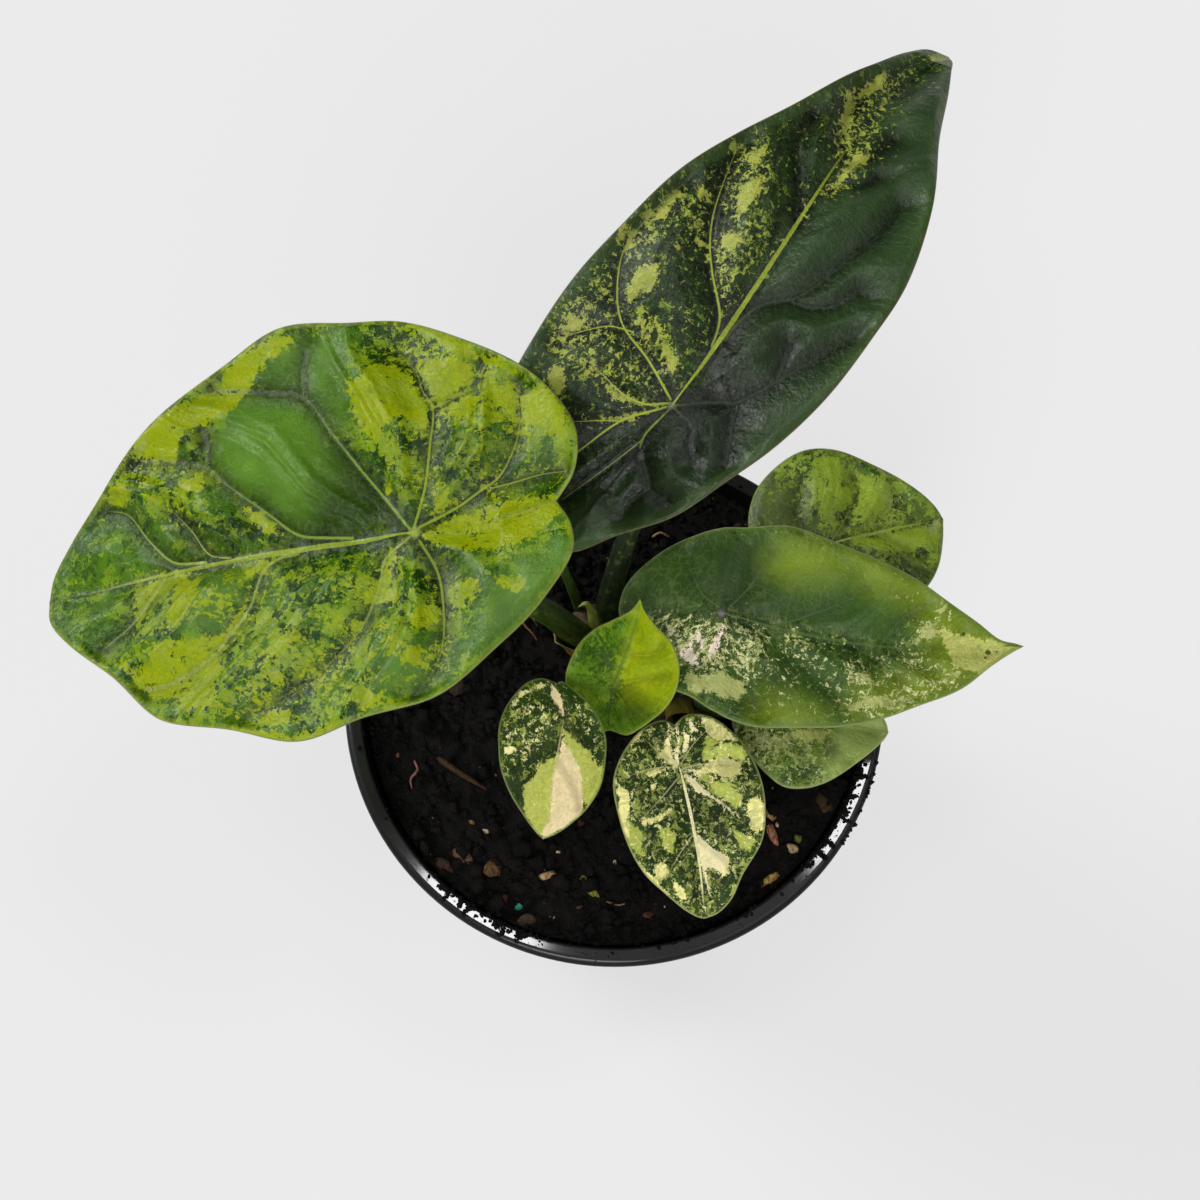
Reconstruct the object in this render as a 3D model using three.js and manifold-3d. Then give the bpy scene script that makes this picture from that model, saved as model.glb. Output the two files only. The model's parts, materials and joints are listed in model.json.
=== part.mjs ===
// Young variegated alocasia in a round plastic pot. Millimetres, +Z up.
// The origin is the centre of the pot's flat base, and -Y is the side that the plant is seen from.
import * as THREE from 'three';
import { mergeVertices } from 'three/addons/utils/BufferGeometryUtils.js';
import Module from 'manifold-3d';

// Pot
const potHeight = 105;
const rimRadius = 65;
const baseRadius = 47.5;
const wall = 1.3;
const floor = 1.8;
const rimBand = 10;
// Distances in from the rim's outside, and below the pot's top, of the rounded lip
const lip = [[0, 1.4], [0.6, 0.4], [1.6, 0], [2.9, 0.4]];
const bandStep = [1.8, 0.5];
const insideInset = 4.3;
const insideTop = 2;
const footBevel = [1, 1.2];
const floorBevel = [1, 0.8];
const potSides = 60;
const drainHole = { radius: 4, ring: 37, count: 6, sides: 12 };

// Soil and the gap that touching pieces keep. The soil's top has low lumps, each with a height and the
// rates at which it waves along x and y, and dips towards the wall
const soilLevel = 100;
const soilLumps = [{ height: 0.5, x: 0.23, y: 0.19 }, { height: 0.35, x: 0.3, y: 0.41 }];
const soilDip = [45, 60];
const soilSlack = 0.1;
const soilFoot = [1.4, 2];
const soilShoulder = 4;
const soilEdge = 2;
const soilRings = 8;
const soilSides = 48;
const gap = 0.3;

// Short stems that the leaf stalks rise from
const stemTop = 101.6;
const stemDepth = 26;
const stemSides = 20;
// Share of the radius, share of the depth below the top, and which way a wider hole's end moves
const stemShape = [[0.5, 1, -1], [0.9, 0.8, 0], [1, 0.4, 0], [0.93, 0, 1]];
const leftStem = { at: [-5.2, 17.7], radius: 7 };
const rightStem = { at: [15, 2.2], radius: 10 };

// Leaf blades. Along is the distance from the stalk's junction towards the tip, and across is the
// distance from the midrib, positive to the left. Each outline half runs from the notch to the tip.
const bladeThickness = 0.8;
const veinFade = [2, 10];
const veinSamples = 20;
const midribReach = [-0.5, 0.5, 0.92];
const leaves = [
  {
    name: 'broad_left',
    color: 0x86a822,
    junction: [-41.5, 10.6, 196],
    heading: -176.4, pitch: -10, roll: 0,
    tip: 89, notch: 30,
    left: [[-33, 7], [-33, 13], [-26, 21], [-16, 28], [-4, 36], [12, 39], [26, 42], [40, 38], [57, 33],
      [70, 21], [81, 12], [87.5, 5]],
    right: [[-34, -5], [-35, -14], [-28, -27], [-13, -40], [0, -47], [13, -48], [28, -49], [40, -44],
      [56, -35], [72, -20], [82, -11.5], [87.5, -5]],
    arch: 1 / 220, backArch: 0, foldLeft: 10, foldRight: 10, crossArch: 1 / 170,
    bow: -0.5, bowPower: 1, sway: -3.4,
    wave: 0.9, waves: 7,
    veinDepth: 1.3, veinWidth: 4.5,
    veins: [[[1, 1], [7, 7], [10, 16], [15, 24], [28, 33]], [[-1, 2], [-5, 13], [-5, 22], [-3, 32]],
      [[31, 1], [36, 8], [40, 16], [46, 23], [56, 27]], [[60, 0], [66, 8], [73, 13]],
      [[1, -1], [11, -16], [16, -26], [25, -34], [38, -39]], [[25, -1], [36, -11], [46, -22], [64, -26]],
      [[48, -1], [58, -8], [68, -16]], [[-1, -2], [-4, -15], [-3, -33], [4, -43]],
      [[-2, -1], [-13, -7], [-24, -13]]],
    rays: 64, rings: 7,
    stalk: { base: [-8, 15], radii: [3.8, 2.1], lift: [-9, 2, 30], reach: 30 },
  },
  {
    name: 'tall_back',
    color: 0x2f5427,
    junction: [11.6, 38.6, 196],
    heading: 52, pitch: 20, roll: 6,
    tip: 116, notch: 38,
    left: [[-41, 6], [-40, 16], [-31, 25], [-18, 30.5], [-4, 32.5], [13, 33], [28, 30.5], [42, 27], [58, 21],
      [76, 13], [94, 8], [108, 6], [114, 4]],
    right: [[-38, -3], [-29, -8], [-18, -15], [-6, -19], [6, -23], [20, -26], [35, -27], [50, -27],
      [67, -23], [86, -15], [98, -10], [108, -5], [114, -2]],
    arch: 1 / 120, backArch: 1 / 200, foldLeft: 4, foldRight: 12, crossArch: 1 / 130,
    bow: 4, bowPower: 2, sway: 3,
    wave: 0.8, waves: 8,
    veinDepth: 1.6, veinWidth: 4.5,
    veins: [[[1, 1], [4, 7], [6, 15], [16, 25], [24, 30]], [[22, 1], [25, 6], [35, 14], [52, 20]],
      [[45, 0], [53, 6], [70, 12]], [[66, 0], [75, 5], [92, 7]],
      [[1, -1], [9, -11], [17, -15], [28, -21], [34, -25]], [[24, -1], [33, -8], [46, -13], [65, -19]],
      [[44, -1], [54, -8], [76, -15]], [[60, -1], [70, -7], [90, -10]],
      [[-1, -1], [-10, -3], [-17, -12]], [[-1, 2], [-12, 7], [-32, 9]], [[-1, 2], [-10, 14], [-20, 27]]],
    rays: 64, rings: 8,
    stalk: { base: [-2, 20.6], radii: [3.3, 1.9], lift: [2, 7, 30], reach: 12 },
  },
  {
    name: 'pointed_right',
    color: 0x5f7d36,
    junction: [24.1, 9.9, 141],
    heading: -3.8, pitch: 2, roll: 0,
    tip: 72, notch: 15,
    left: [[-19, 3], [-23, 8], [-22, 14], [-16, 17], [-6, 19], [4, 21], [15, 24], [24, 23], [35, 20],
      [44, 16], [52, 11], [60, 6], [66, 1.8], [70, 0.7]],
    right: [[-17, -5], [-16, -11], [-12, -16], [-6, -20], [0, -24], [8, -25], [18, -23], [28, -21],
      [37, -18], [46, -14], [56, -10], [63, -5], [68, -2]],
    arch: 1 / 190, backArch: 1 / 120, foldLeft: 10, foldRight: 10, crossArch: 1 / 120,
    bow: -4.5, bowPower: 1, sway: -4,
    wave: 0.5, waves: 6,
    veinDepth: 0.9, veinWidth: 3.2,
    veins: [[[1, 1], [5, 6], [9, 12], [14, 18]], [[16, 1], [24, 7], [34, 13]], [[32, 0], [41, 6], [50, 9]],
      [[-1, 1], [-4, 4], [-9, 14]], [[9, -1], [21, -8], [30, -15]], [[1, -2], [4, -8], [7, -19]],
      [[26, -1], [36, -7], [46, -12]]],
    rays: 48, rings: 6,
    stalk: { base: [16.6, 4.4], radii: [2.8, 1.5], lift: [2, 2, 12], reach: 12 },
  },
  {
    name: 'round_back_right',
    color: 0x6b8a2c,
    junction: [50.2, 30.5, 128],
    heading: 17.8, pitch: 0, roll: 0,
    tip: 31.5, notch: 10,
    left: [[-13, 2], [-16, 6], [-16, 11], [-12, 18], [-6, 22], [2, 24], [10, 22], [18, 16], [25, 9], [30, 3]],
    right: [[-12, -5], [-11, -12], [-6, -17], [2, -20], [10, -20], [18, -17], [24, -12], [29, -5]],
    arch: 1 / 60, backArch: 1 / 80, foldLeft: 10, foldRight: 10, crossArch: 1 / 70,
    bow: 0, bowPower: 1, sway: 0,
    wave: 0.5, waves: 5,
    veinDepth: 0.7, veinWidth: 2.5,
    veins: [[[1, 1], [5, 7], [10, 13]], [[10, 0], [17, 6], [21, 10]], [[-1, 1], [-6, 9], [-6, 17]],
      [[1, -1], [6, -7], [12, -14]], [[10, 0], [17, -6], [21, -11]]],
    rays: 32, rings: 5,
    stalk: { base: [21.4, 6.4], radii: [1.9, 1.1], lift: [7, 6, 14], reach: 9 },
  },
  {
    name: 'young_centre',
    color: 0x79a01c,
    junction: [-0.3, -7.2, 141],
    heading: 71.6, pitch: 28, roll: 0,
    tip: 21, notch: 10.5,
    left: [[-11, 3], [-8, 8], [-2, 11], [3, 12], [8, 11.5], [12, 9], [15, 5], [18, 1.4]],
    right: [[-10, -4], [-7, -8], [-4, -11], [0, -14], [5, -14.5], [10, -13], [14, -10], [17, -4.5],
      [19, -1.4]],
    arch: 0, backArch: 1 / 60, foldLeft: 22, foldRight: 22, crossArch: 0,
    bow: -0.8, bowPower: 1, sway: -2.2,
    wave: 0.3, waves: 4,
    veinDepth: 0.4, veinWidth: 1.8,
    veins: [[[1, 1], [5, 5], [9, 9]], [[9, 0], [12, 4]], [[1, -1], [4, -6], [7, -12]], [[9, -1], [8, -12]],
      [[-1, 1], [-4, 6]], [[-1, -1], [-5, -7]]],
    rays: 32, rings: 5,
    stalk: { base: [10.2, 1.8], radii: [1.9, 1.1], lift: [-1, -1, 16], reach: 14 },
  },
  {
    name: 'small_front_left',
    color: 0x6f8a4a,
    junction: [-11.5, -16.4, 146],
    heading: -100.2, pitch: -6, roll: 0,
    tip: 27, notch: 8,
    left: [[-8.5, 1.5], [-6.5, 4], [-3, 7], [2, 10], [7, 11], [13, 11], [18, 9], [22, 6], [25, 3]],
    right: [[-8.5, -2.5], [-7.5, -6], [-5, -9.8], [-1, -13], [4, -14], [9, -13.2], [13, -12], [18, -9],
      [22, -5.5], [25.5, -2]],
    arch: 1 / 90, backArch: 1 / 60, foldLeft: 16, foldRight: 16, crossArch: 1 / 60,
    bow: 0, bowPower: 1, sway: -3,
    wave: 0.4, waves: 4,
    veinDepth: 0.4, veinWidth: 1.8,
    veins: [[[1, 1], [6, 6], [12, 9]], [[9, 0], [15, 5], [19, 7]], [[1, -1], [5, -6], [11, -10]],
      [[9, 0], [15, -5], [18, -7]]],
    rays: 32, rings: 5,
    stalk: { base: [8.4, -3], radii: [1.7, 1], lift: [-3, -3, 12], reach: 22 },
  },
  {
    name: 'small_front',
    color: 0x8a9c66,
    junction: [14.8, -23.4, 128],
    heading: -80.1, pitch: -4, roll: 0,
    tip: 35, notch: 10.5,
    left: [[-12, 3], [-10.5, 8.5], [-7, 12.5], [-2, 16], [5, 17.5], [12, 17], [19, 15], [26, 9.5],
      [31, 6.5], [34, 3]],
    right: [[-12, -2.5], [-10.5, -7.5], [-5, -13], [1, -16], [8, -16.5], [16, -15.5], [22, -13], [27, -9],
      [32, -4.5], [34.4, -1.5]],
    arch: 1 / 80, backArch: 1 / 80, foldLeft: 14, foldRight: 14, crossArch: 1 / 70,
    bow: 0.8, bowPower: 1, sway: 0.6,
    wave: 0.5, waves: 5,
    veinDepth: 0.5, veinWidth: 2.2,
    veins: [[[1, 1], [4, 3], [9, 7], [14, 12]], [[0, 1], [0, 5], [1, 12]], [[16, 0], [21, 5], [25, 8]],
      [[2, -1], [6, -6], [10, -12]], [[-1, -1], [-1, -4], [0, -12]], [[15, 0], [20, -5], [24, -8]],
      [[-1, 0.5], [-9, 2]]],
    rays: 36, rings: 5,
    stalk: { base: [15.6, -3.2], radii: [2.5, 1.4], lift: [0.8, -1.5, 9], reach: 10 },
  },
  {
    name: 'low_right',
    color: 0x5d7a3a,
    junction: [37.8, -7.4, 118],
    heading: -8.5, pitch: 0, roll: 0,
    tip: 27.5, notch: 9,
    left: [[-10, 3], [-9, 8], [-4, 13], [3, 16], [10, 15], [17, 11], [23, 5.5], [26.5, 2]],
    right: [[-10, -3], [-8.5, -7], [-4, -12.5], [0, -16], [4, -18], [9, -17.5], [14, -15], [20, -9.5],
      [25, -4], [26.8, -1.5]],
    arch: 1 / 90, backArch: 1 / 60, foldLeft: 12, foldRight: 12, crossArch: 1 / 80,
    bow: 0, bowPower: 1, sway: 0,
    wave: 0.4, waves: 5,
    veinDepth: 0.4, veinWidth: 2,
    veins: [[[1, 1], [6, 6], [12, 11]], [[9, 0], [15, 5], [19, 8]], [[1, -1], [5, -8], [9, -14]],
      [[9, 0], [14, -6], [18, -9]]],
    rays: 32, rings: 5,
    stalk: { base: [20.6, -0.8], radii: [1.8, 1.1], lift: [2, -5, 6], reach: 6 },
  },
  {
    name: 'hidden_left',
    color: 0x4f7a2a,
    junction: [-19, 37, 150],
    heading: 140, pitch: -5, roll: 0,
    tip: 32, notch: 9,
    left: [[-12, 5], [-8, 11], [0, 14], [10, 13], [20, 9], [28, 4]],
    right: [[-12, -5], [-8, -11], [0, -14], [10, -13], [20, -9], [28, -4]],
    arch: 1 / 90, backArch: 1 / 80, foldLeft: 12, foldRight: 12, crossArch: 1 / 80,
    bow: 0, bowPower: 1, sway: 0,
    wave: 0.4, waves: 5,
    veinDepth: 0.4, veinWidth: 2,
    veins: [[[1, 1], [6, 6], [12, 9]], [[10, 0], [16, 5], [20, 7]], [[1, -1], [6, -6], [12, -9]],
      [[10, 0], [16, -5], [20, -7]]],
    rays: 28, rings: 4,
    stalk: { base: [-8.6, 23.2], radii: [1.4, 0.9], lift: [-3.5, 4, 20], reach: 10 },
  },
];
const stalkSides = 10;
const stalkSteps = 12;
const stalkColor = 0x3f6222;
const stemColor = 0x7a5a34;

// Papery sheaths that clasp the foot of two leaf stalks, and the rolled tip of the next leaf
const sheaths = [
  { name: 'sheath_left', on: 'broad_left', color: 0x9a8a3a, height: 6.5, slant: 2, facing: -120, spread: 100 },
  { name: 'sheath_right', on: 'small_front', color: 0x98902c, height: 12, slant: 3, facing: 85, spread: 115 },
];
const sheathThickness = 0.8;
const sheathSlack = 0.15;
const sheathColumns = 12;
const sheathRows = 5;
const shootPoints = [[-2.4, 15.2, stemTop + gap], [-4.6, 17.4, 106], [-5.6, 20, 111], [-7, 20.6, 113.2],
  [-8.6, 20, 112.4]];
const shootRadii = [1.3, 1.4, 1.2, 1.1, 0.5];
const shootSteps = 10;

const wasm = await Module();
wasm.setup();
const model = new THREE.Group();

// Adds one named piece with a material of its own
function addPiece(name, geometry, color, roughness) {
  const mesh = new THREE.Mesh(geometry, new THREE.MeshStandardMaterial({ color, roughness, metalness: 0 }));
  mesh.name = name;
  model.add(mesh);
}

function indexedGeometry(points, triangles) {
  const geometry = new THREE.BufferGeometry();
  const flat = points.flatMap((p) => [p.x, p.y, p.z]);
  geometry.setAttribute('position', new THREE.Float32BufferAttribute(flat, 3));
  geometry.setIndex(triangles.flat());
  geometry.computeVertexNormals();
  return geometry;
}

// Shared corners merged and slivers on a lathe's axis dropped
function mergedGeometry(geometry) {
  const bare = geometry.clone();
  bare.deleteAttribute('normal');
  bare.deleteAttribute('uv');
  const merged = mergeVertices(bare, 1e-4);
  const index = Array.from(merged.getIndex().array);
  const kept = [];
  for (let i = 0; i < index.length; i += 3) {
    const [a, b, c] = index.slice(i, i + 3);
    if (a !== b && b !== c && c !== a) kept.push(a, b, c);
  }
  merged.setIndex(kept);
  return merged;
}

function toSolid(geometry) {
  const merged = mergedGeometry(geometry);
  return new wasm.Manifold(new wasm.Mesh({
    numProp: 3,
    vertProperties: new Float32Array(merged.getAttribute('position').array),
    triVerts: new Uint32Array(merged.getIndex().array),
  }));
}

function fromSolid(solid) {
  const mesh = solid.getMesh();
  const geometry = new THREE.BufferGeometry();
  geometry.setAttribute('position', new THREE.BufferAttribute(new Float32Array(mesh.vertProperties), 3));
  geometry.setIndex(new THREE.BufferAttribute(new Uint32Array(mesh.triVerts), 1));
  geometry.computeVertexNormals();
  return geometry;
}

// A turned solid about the vertical axis, from [radius, height] points that start and end on it
function turned(profile, sides, [x, y] = [0, 0]) {
  const lathe = new THREE.LatheGeometry(profile.map(([r, z]) => new THREE.Vector2(r, z)), sides);
  return mergedGeometry(lathe.rotateX(Math.PI / 2).translate(x, y, 0));
}

// Rings of points joined into a closed solid, each ring running anticlockwise about the way ahead
function loft(rings) {
  const count = rings[0].length;
  const points = rings.flat();
  const triangles = [];
  for (let k = 0; k + 1 < rings.length; k++) {
    for (let j = 0; j < count; j++) {
      const a = k * count + j;
      const b = k * count + (j + 1) % count;
      triangles.push([a, b, b + count], [a, b + count, a + count]);
    }
  }
  const centre = (ring) => ring.reduce((sum, p) => sum.add(p), new THREE.Vector3()).divideScalar(count);
  const first = points.push(centre(rings[0])) - 1;
  const last = points.push(centre(rings.at(-1))) - 1;
  const start = (rings.length - 1) * count;
  for (let j = 0; j < count; j++) {
    const next = (j + 1) % count;
    triangles.push([first, next, j], [last, start + j, start + next]);
  }
  return indexedGeometry(points, triangles);
}

// Two grids of points, front and back, closed along their border
function slab(front, back) {
  const rows = front.length;
  const columns = front[0].length;
  const points = [...front.flat(), ...back.flat()];
  const behind = rows * columns;
  const at = (i, j) => i * columns + j;
  const triangles = [];
  const wallBetween = (a, b) => triangles.push([a, b + behind, b], [a, a + behind, b + behind]);
  for (let i = 0; i + 1 < rows; i++) {
    for (let j = 0; j + 1 < columns; j++) {
      const [a, b, c, d] = [at(i, j), at(i + 1, j), at(i + 1, j + 1), at(i, j + 1)];
      triangles.push([a, b, c], [a, c, d]);
      triangles.push([a + behind, c + behind, b + behind], [a + behind, d + behind, c + behind]);
    }
  }
  for (let i = 0; i + 1 < rows; i++) {
    wallBetween(at(i, 0), at(i + 1, 0));
    wallBetween(at(i + 1, columns - 1), at(i, columns - 1));
  }
  for (let j = 0; j + 1 < columns; j++) {
    wallBetween(at(rows - 1, j), at(rows - 1, j + 1));
    wallBetween(at(0, j + 1), at(0, j));
  }
  return indexedGeometry(points, triangles);
}

// Axes of a leaf at its junction: ahead towards the tip, left across it, and up out of its face
function leafAxes(leaf) {
  const [a, p, r] = [leaf.heading, leaf.pitch, leaf.roll].map(THREE.MathUtils.degToRad);
  const ahead = new THREE.Vector3(Math.cos(a) * Math.cos(p), Math.sin(a) * Math.cos(p), Math.sin(p));
  const level = new THREE.Vector3(-Math.sin(a), Math.cos(a), 0);
  const square = new THREE.Vector3().crossVectors(ahead, level);
  const left = level.clone().multiplyScalar(Math.cos(r)).addScaledVector(square, Math.sin(r));
  const up = square.multiplyScalar(Math.cos(r)).addScaledVector(level, -Math.sin(r));
  return { ahead, left, up };
}

// Distance along and height gained on an arc of a given bend that sets out at a given angle
function arcStep(length, bend, angle) {
  if (Math.abs(bend) < 1e-9) return [length * Math.cos(angle), length * Math.sin(angle), angle];
  const end = angle + bend * length;
  return [(Math.sin(end) - Math.sin(angle)) / bend, (Math.cos(angle) - Math.cos(end)) / bend, end];
}

// Point of a leaf's mid surface, raised by lift along the surface normal
function leafPoint(leaf, axes, s, t, lift) {
  const [x, z, slope] = arcStep(s, s >= 0 ? -leaf.arch : -leaf.backArch, 0);
  const normal = axes.up.clone().multiplyScalar(Math.cos(slope)).addScaledVector(axes.ahead, -Math.sin(slope));
  const drift = s > 0
    ? leaf.bow * Math.sin(Math.PI * Math.min(s / leaf.tip, 1) ** leaf.bowPower)
    : leaf.sway * (s / leaf.notch) ** 2;
  const hand = Math.abs(t) < 1e-6 ? 0 : Math.sign(t);
  const fold = hand ? THREE.MathUtils.degToRad(hand > 0 ? leaf.foldLeft : leaf.foldRight) : 0;
  const [y, rise, tilt] = arcStep(Math.abs(t), -leaf.crossArch, fold);
  const out = axes.left.clone().multiplyScalar(hand);
  return new THREE.Vector3(...leaf.junction)
    .addScaledVector(axes.ahead, x)
    .addScaledVector(axes.up, z)
    .addScaledVector(axes.left, drift)
    .addScaledVector(out, y - Math.sin(tilt) * lift)
    .addScaledVector(normal, rise + Math.cos(tilt) * lift);
}

// Sunken side veins: how far the face drops at a point, fading out round the junction
function veinRelief(leaf, s, t) {
  const here = new THREE.Vector3(s, t, 0);
  const nearest = Math.min(...leaf.veinPoints.map((p) => p.distanceTo(here)));
  const fade = THREE.MathUtils.smoothstep(Math.hypot(s, t), ...veinFade);
  return -leaf.veinDepth * fade * Math.exp(-((nearest / leaf.veinWidth) ** 2));
}

const asCurve = (list) => new THREE.CatmullRomCurve3(list.map(([s, t]) => new THREE.Vector3(s, t, 0)), false,
  'centripetal');

// Closed loop of outline points: up the left half from notch to tip, and back down the right half
function outlineLoop(leaf) {
  const half = leaf.rays / 2;
  const side = (list) => asCurve([[-leaf.notch, 0], ...list, [leaf.tip, 0]]).getSpacedPoints(half);
  return [...side(leaf.left).slice(0, -1), ...side(leaf.right).reverse().slice(0, -1)];
}

function bladeGeometry(leaf) {
  const axes = leafAxes(leaf);
  const loop = outlineLoop(leaf);
  const [behind, middle, ahead] = midribReach;
  const midrib = [[leaf.notch * behind, 0], [leaf.tip * middle, 0], [leaf.tip * ahead, 0]];
  leaf.veinPoints = [midrib, ...leaf.veins].flatMap((vein) => asCurve(vein).getSpacedPoints(veinSamples));
  const face = (side) => {
    const points = [leafPoint(leaf, axes, 0, 0, side * bladeThickness / 2)];
    for (let k = 1; k <= leaf.rings; k++) {
      const ratio = k / leaf.rings;
      loop.forEach((edge, i) => {
        const [s, t] = [edge.x * ratio, edge.y * ratio];
        const ripple = leaf.wave * ratio ** 3 * Math.sin(leaf.waves * 2 * Math.PI * i / leaf.rays);
        points.push(leafPoint(leaf, axes, s, t, side * bladeThickness / 2 + veinRelief(leaf, s, t) + ripple));
      });
    }
    return points;
  };
  const top = face(1);
  const under = top.length;
  const triangles = [];
  const pair = (a, b, c) => triangles.push([a, c, b], [a + under, b + under, c + under]);
  for (let i = 0; i < leaf.rays; i++) {
    const next = (i + 1) % leaf.rays;
    pair(0, 1 + i, 1 + next);
    for (let k = 0; k + 1 < leaf.rings; k++) {
      const [a, b] = [1 + k * leaf.rays + i, 1 + k * leaf.rays + next];
      pair(a, a + leaf.rays, b + leaf.rays);
      pair(a, b + leaf.rays, b);
    }
    const rim = 1 + (leaf.rings - 1) * leaf.rays;
    triangles.push([rim + i, rim + next, rim + next + under], [rim + i, rim + next + under, rim + i + under]);
  }
  return indexedGeometry([...top, ...face(-1)], triangles);
}

// A leaf stalk's centre line, from the top of its stem to just under the blade's junction
function stalkCurve(leaf) {
  const { base, lift, reach } = leaf.stalk;
  const start = new THREE.Vector3(...base, stemTop + gap);
  const up = leafAxes(leaf).up;
  const end = new THREE.Vector3(...leaf.junction).addScaledVector(up, -bladeThickness / 2 - gap);
  return new THREE.CubicBezierCurve3(start, start.clone().add(new THREE.Vector3(...lift)),
    end.clone().addScaledVector(up, -reach), end);
}

// Slides a ring along the way ahead until it lies in a plane
function cutSquare(ring, centre, ahead, normal) {
  return ring.map((p) => {
    const off = p.clone().sub(centre).dot(normal) / ahead.dot(normal);
    return p.clone().addScaledVector(ahead, -off);
  });
}

// Round rod along a curve. Its foot is cut level, and radiusAt gives its radius from 0 to 1
function rodRings(curve, steps, radiusAt) {
  const frames = curve.computeFrenetFrames(steps, false);
  const rings = [];
  for (let k = 0; k <= steps; k++) {
    const centre = curve.getPointAt(k / steps);
    const ring = Array.from({ length: stalkSides }, (_, j) => {
      const angle = 2 * Math.PI * j / stalkSides;
      return centre.clone()
        .addScaledVector(frames.normals[k], radiusAt(k / steps) * Math.cos(angle))
        .addScaledVector(frames.binormals[k], radiusAt(k / steps) * Math.sin(angle));
    });
    rings.push(k === 0 ? cutSquare(ring, centre, frames.tangents[0], new THREE.Vector3(0, 0, 1)) : ring);
  }
  return rings;
}

function stalkRadius(leaf) {
  const [foot, top] = leaf.stalk.radii;
  return (u) => THREE.MathUtils.lerp(foot, top, Math.sqrt(u));
}

// Radius of the shoot, from 0 at its foot to 1 at its tip
function shootRadius(u) {
  const place = u * (shootRadii.length - 1);
  const k = Math.min(Math.floor(place), shootRadii.length - 2);
  return THREE.MathUtils.lerp(shootRadii[k], shootRadii[k + 1], place - k);
}

// Part of a sleeve about a stalk's foot, level below and slanting down from its middle above
function sheathGeometry(sheath) {
  const leaf = leaves.find((one) => one.name === sheath.on);
  const curve = stalkCurve(leaf);
  const length = curve.getLength();
  const radius = stalkRadius(leaf)(0) + gap + sheathSlack;
  const grid = (thick) => Array.from({ length: sheathColumns + 1 }, (_, i) => {
    const turn = i / sheathColumns * 2 - 1;
    const angle = THREE.MathUtils.degToRad(sheath.facing + turn * sheath.spread);
    const height = sheath.height - sheath.slant * turn ** 2;
    return Array.from({ length: sheathRows + 1 }, (_, j) => {
      const centre = curve.getPointAt(height * j / sheathRows / length);
      const reach = new THREE.Vector3(Math.cos(angle), Math.sin(angle), 0).multiplyScalar(radius + thick);
      return centre.add(reach);
    });
  });
  return slab(grid(sheathThickness), grid(0));
}

function soilHeight(x, y) {
  const [broad, small] = soilLumps;
  const lumps = broad.height * Math.sin(broad.x * x + 1) * Math.cos(broad.y * y)
    + small.height * Math.sin(small.y * y + small.x * x);
  return soilLevel + lumps - THREE.MathUtils.smoothstep(Math.hypot(x, y), ...soilDip);
}

// Radius of the pot's inside at a height
function innerRadius(z) {
  return baseRadius - wall + (rimRadius - insideInset - baseRadius) * z / (potHeight - rimBand);
}

function potSolid() {
  const shoulder = potHeight - rimBand;
  const foot = [[0, 0], [baseRadius - footBevel[0], 0], [baseRadius, footBevel[1]]];
  const band = [[innerRadius(shoulder) + wall, shoulder], [rimRadius - bandStep[0], shoulder + bandStep[1]]];
  const rim = lip.map(([inward, down]) => [rimRadius - inward, potHeight - down]);
  const inside = [potHeight - insideTop, floor + floorBevel[1]].map((z) => [innerRadius(z), z]);
  const bottom = [[innerRadius(floor) - floorBevel[0], floor], [0, floor]];
  let pot = toSolid(turned([...foot, ...band, ...rim, ...inside, ...bottom], potSides));
  for (let i = 0; i < drainHole.count; i++) {
    const angle = 2 * Math.PI * (i + 0.5) / drainHole.count;
    const drill = new THREE.CylinderGeometry(drainHole.radius, drainHole.radius, floor * 3, drainHole.sides)
      .rotateX(Math.PI / 2)
      .translate(drainHole.ring * Math.cos(angle), drainHole.ring * Math.sin(angle), floor / 2);
    pot = pot.subtract(toSolid(drill));
  }
  return pot;
}

// Outline of a stem, or with some extra all round, of the hole that it stands in
function stemProfile(radius, extra) {
  const side = stemShape.map(([share, depth, way]) => (
    [radius * share + extra, stemTop - stemDepth * depth + way * extra]));
  return [[0, side[0][1]], ...side, [0, side.at(-1)[1]]];
}

// Potting soil: crumbly top, sides that follow the pot, and a plain hole for each stem
function soilSolid() {
  const bottom = floor + gap;
  const side = (z) => innerRadius(z) - gap - soilSlack;
  const ring = (radius, height) => Array.from({ length: soilSides }, (_, j) => {
    const angle = 2 * Math.PI * j / soilSides;
    const [x, y] = [radius * Math.cos(angle), radius * Math.sin(angle)];
    return new THREE.Vector3(x, y, height ?? soilHeight(x, y));
  });
  const [footInset, footHeight] = soilFoot;
  const sides = [bottom + footHeight, soilLevel - soilShoulder].map((height) => ring(side(height), height));
  const rings = [ring(side(bottom) - footInset, bottom), ...sides];
  for (let k = soilRings; k > 0; k--) rings.push(ring(side(soilLevel - soilEdge) * k / soilRings));
  let soil = toSolid(loft(rings));
  for (const stem of [leftStem, rightStem]) {
    soil = soil.subtract(toSolid(turned(stemProfile(stem.radius, gap), stemSides, stem.at)));
  }
  return soil;
}

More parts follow.
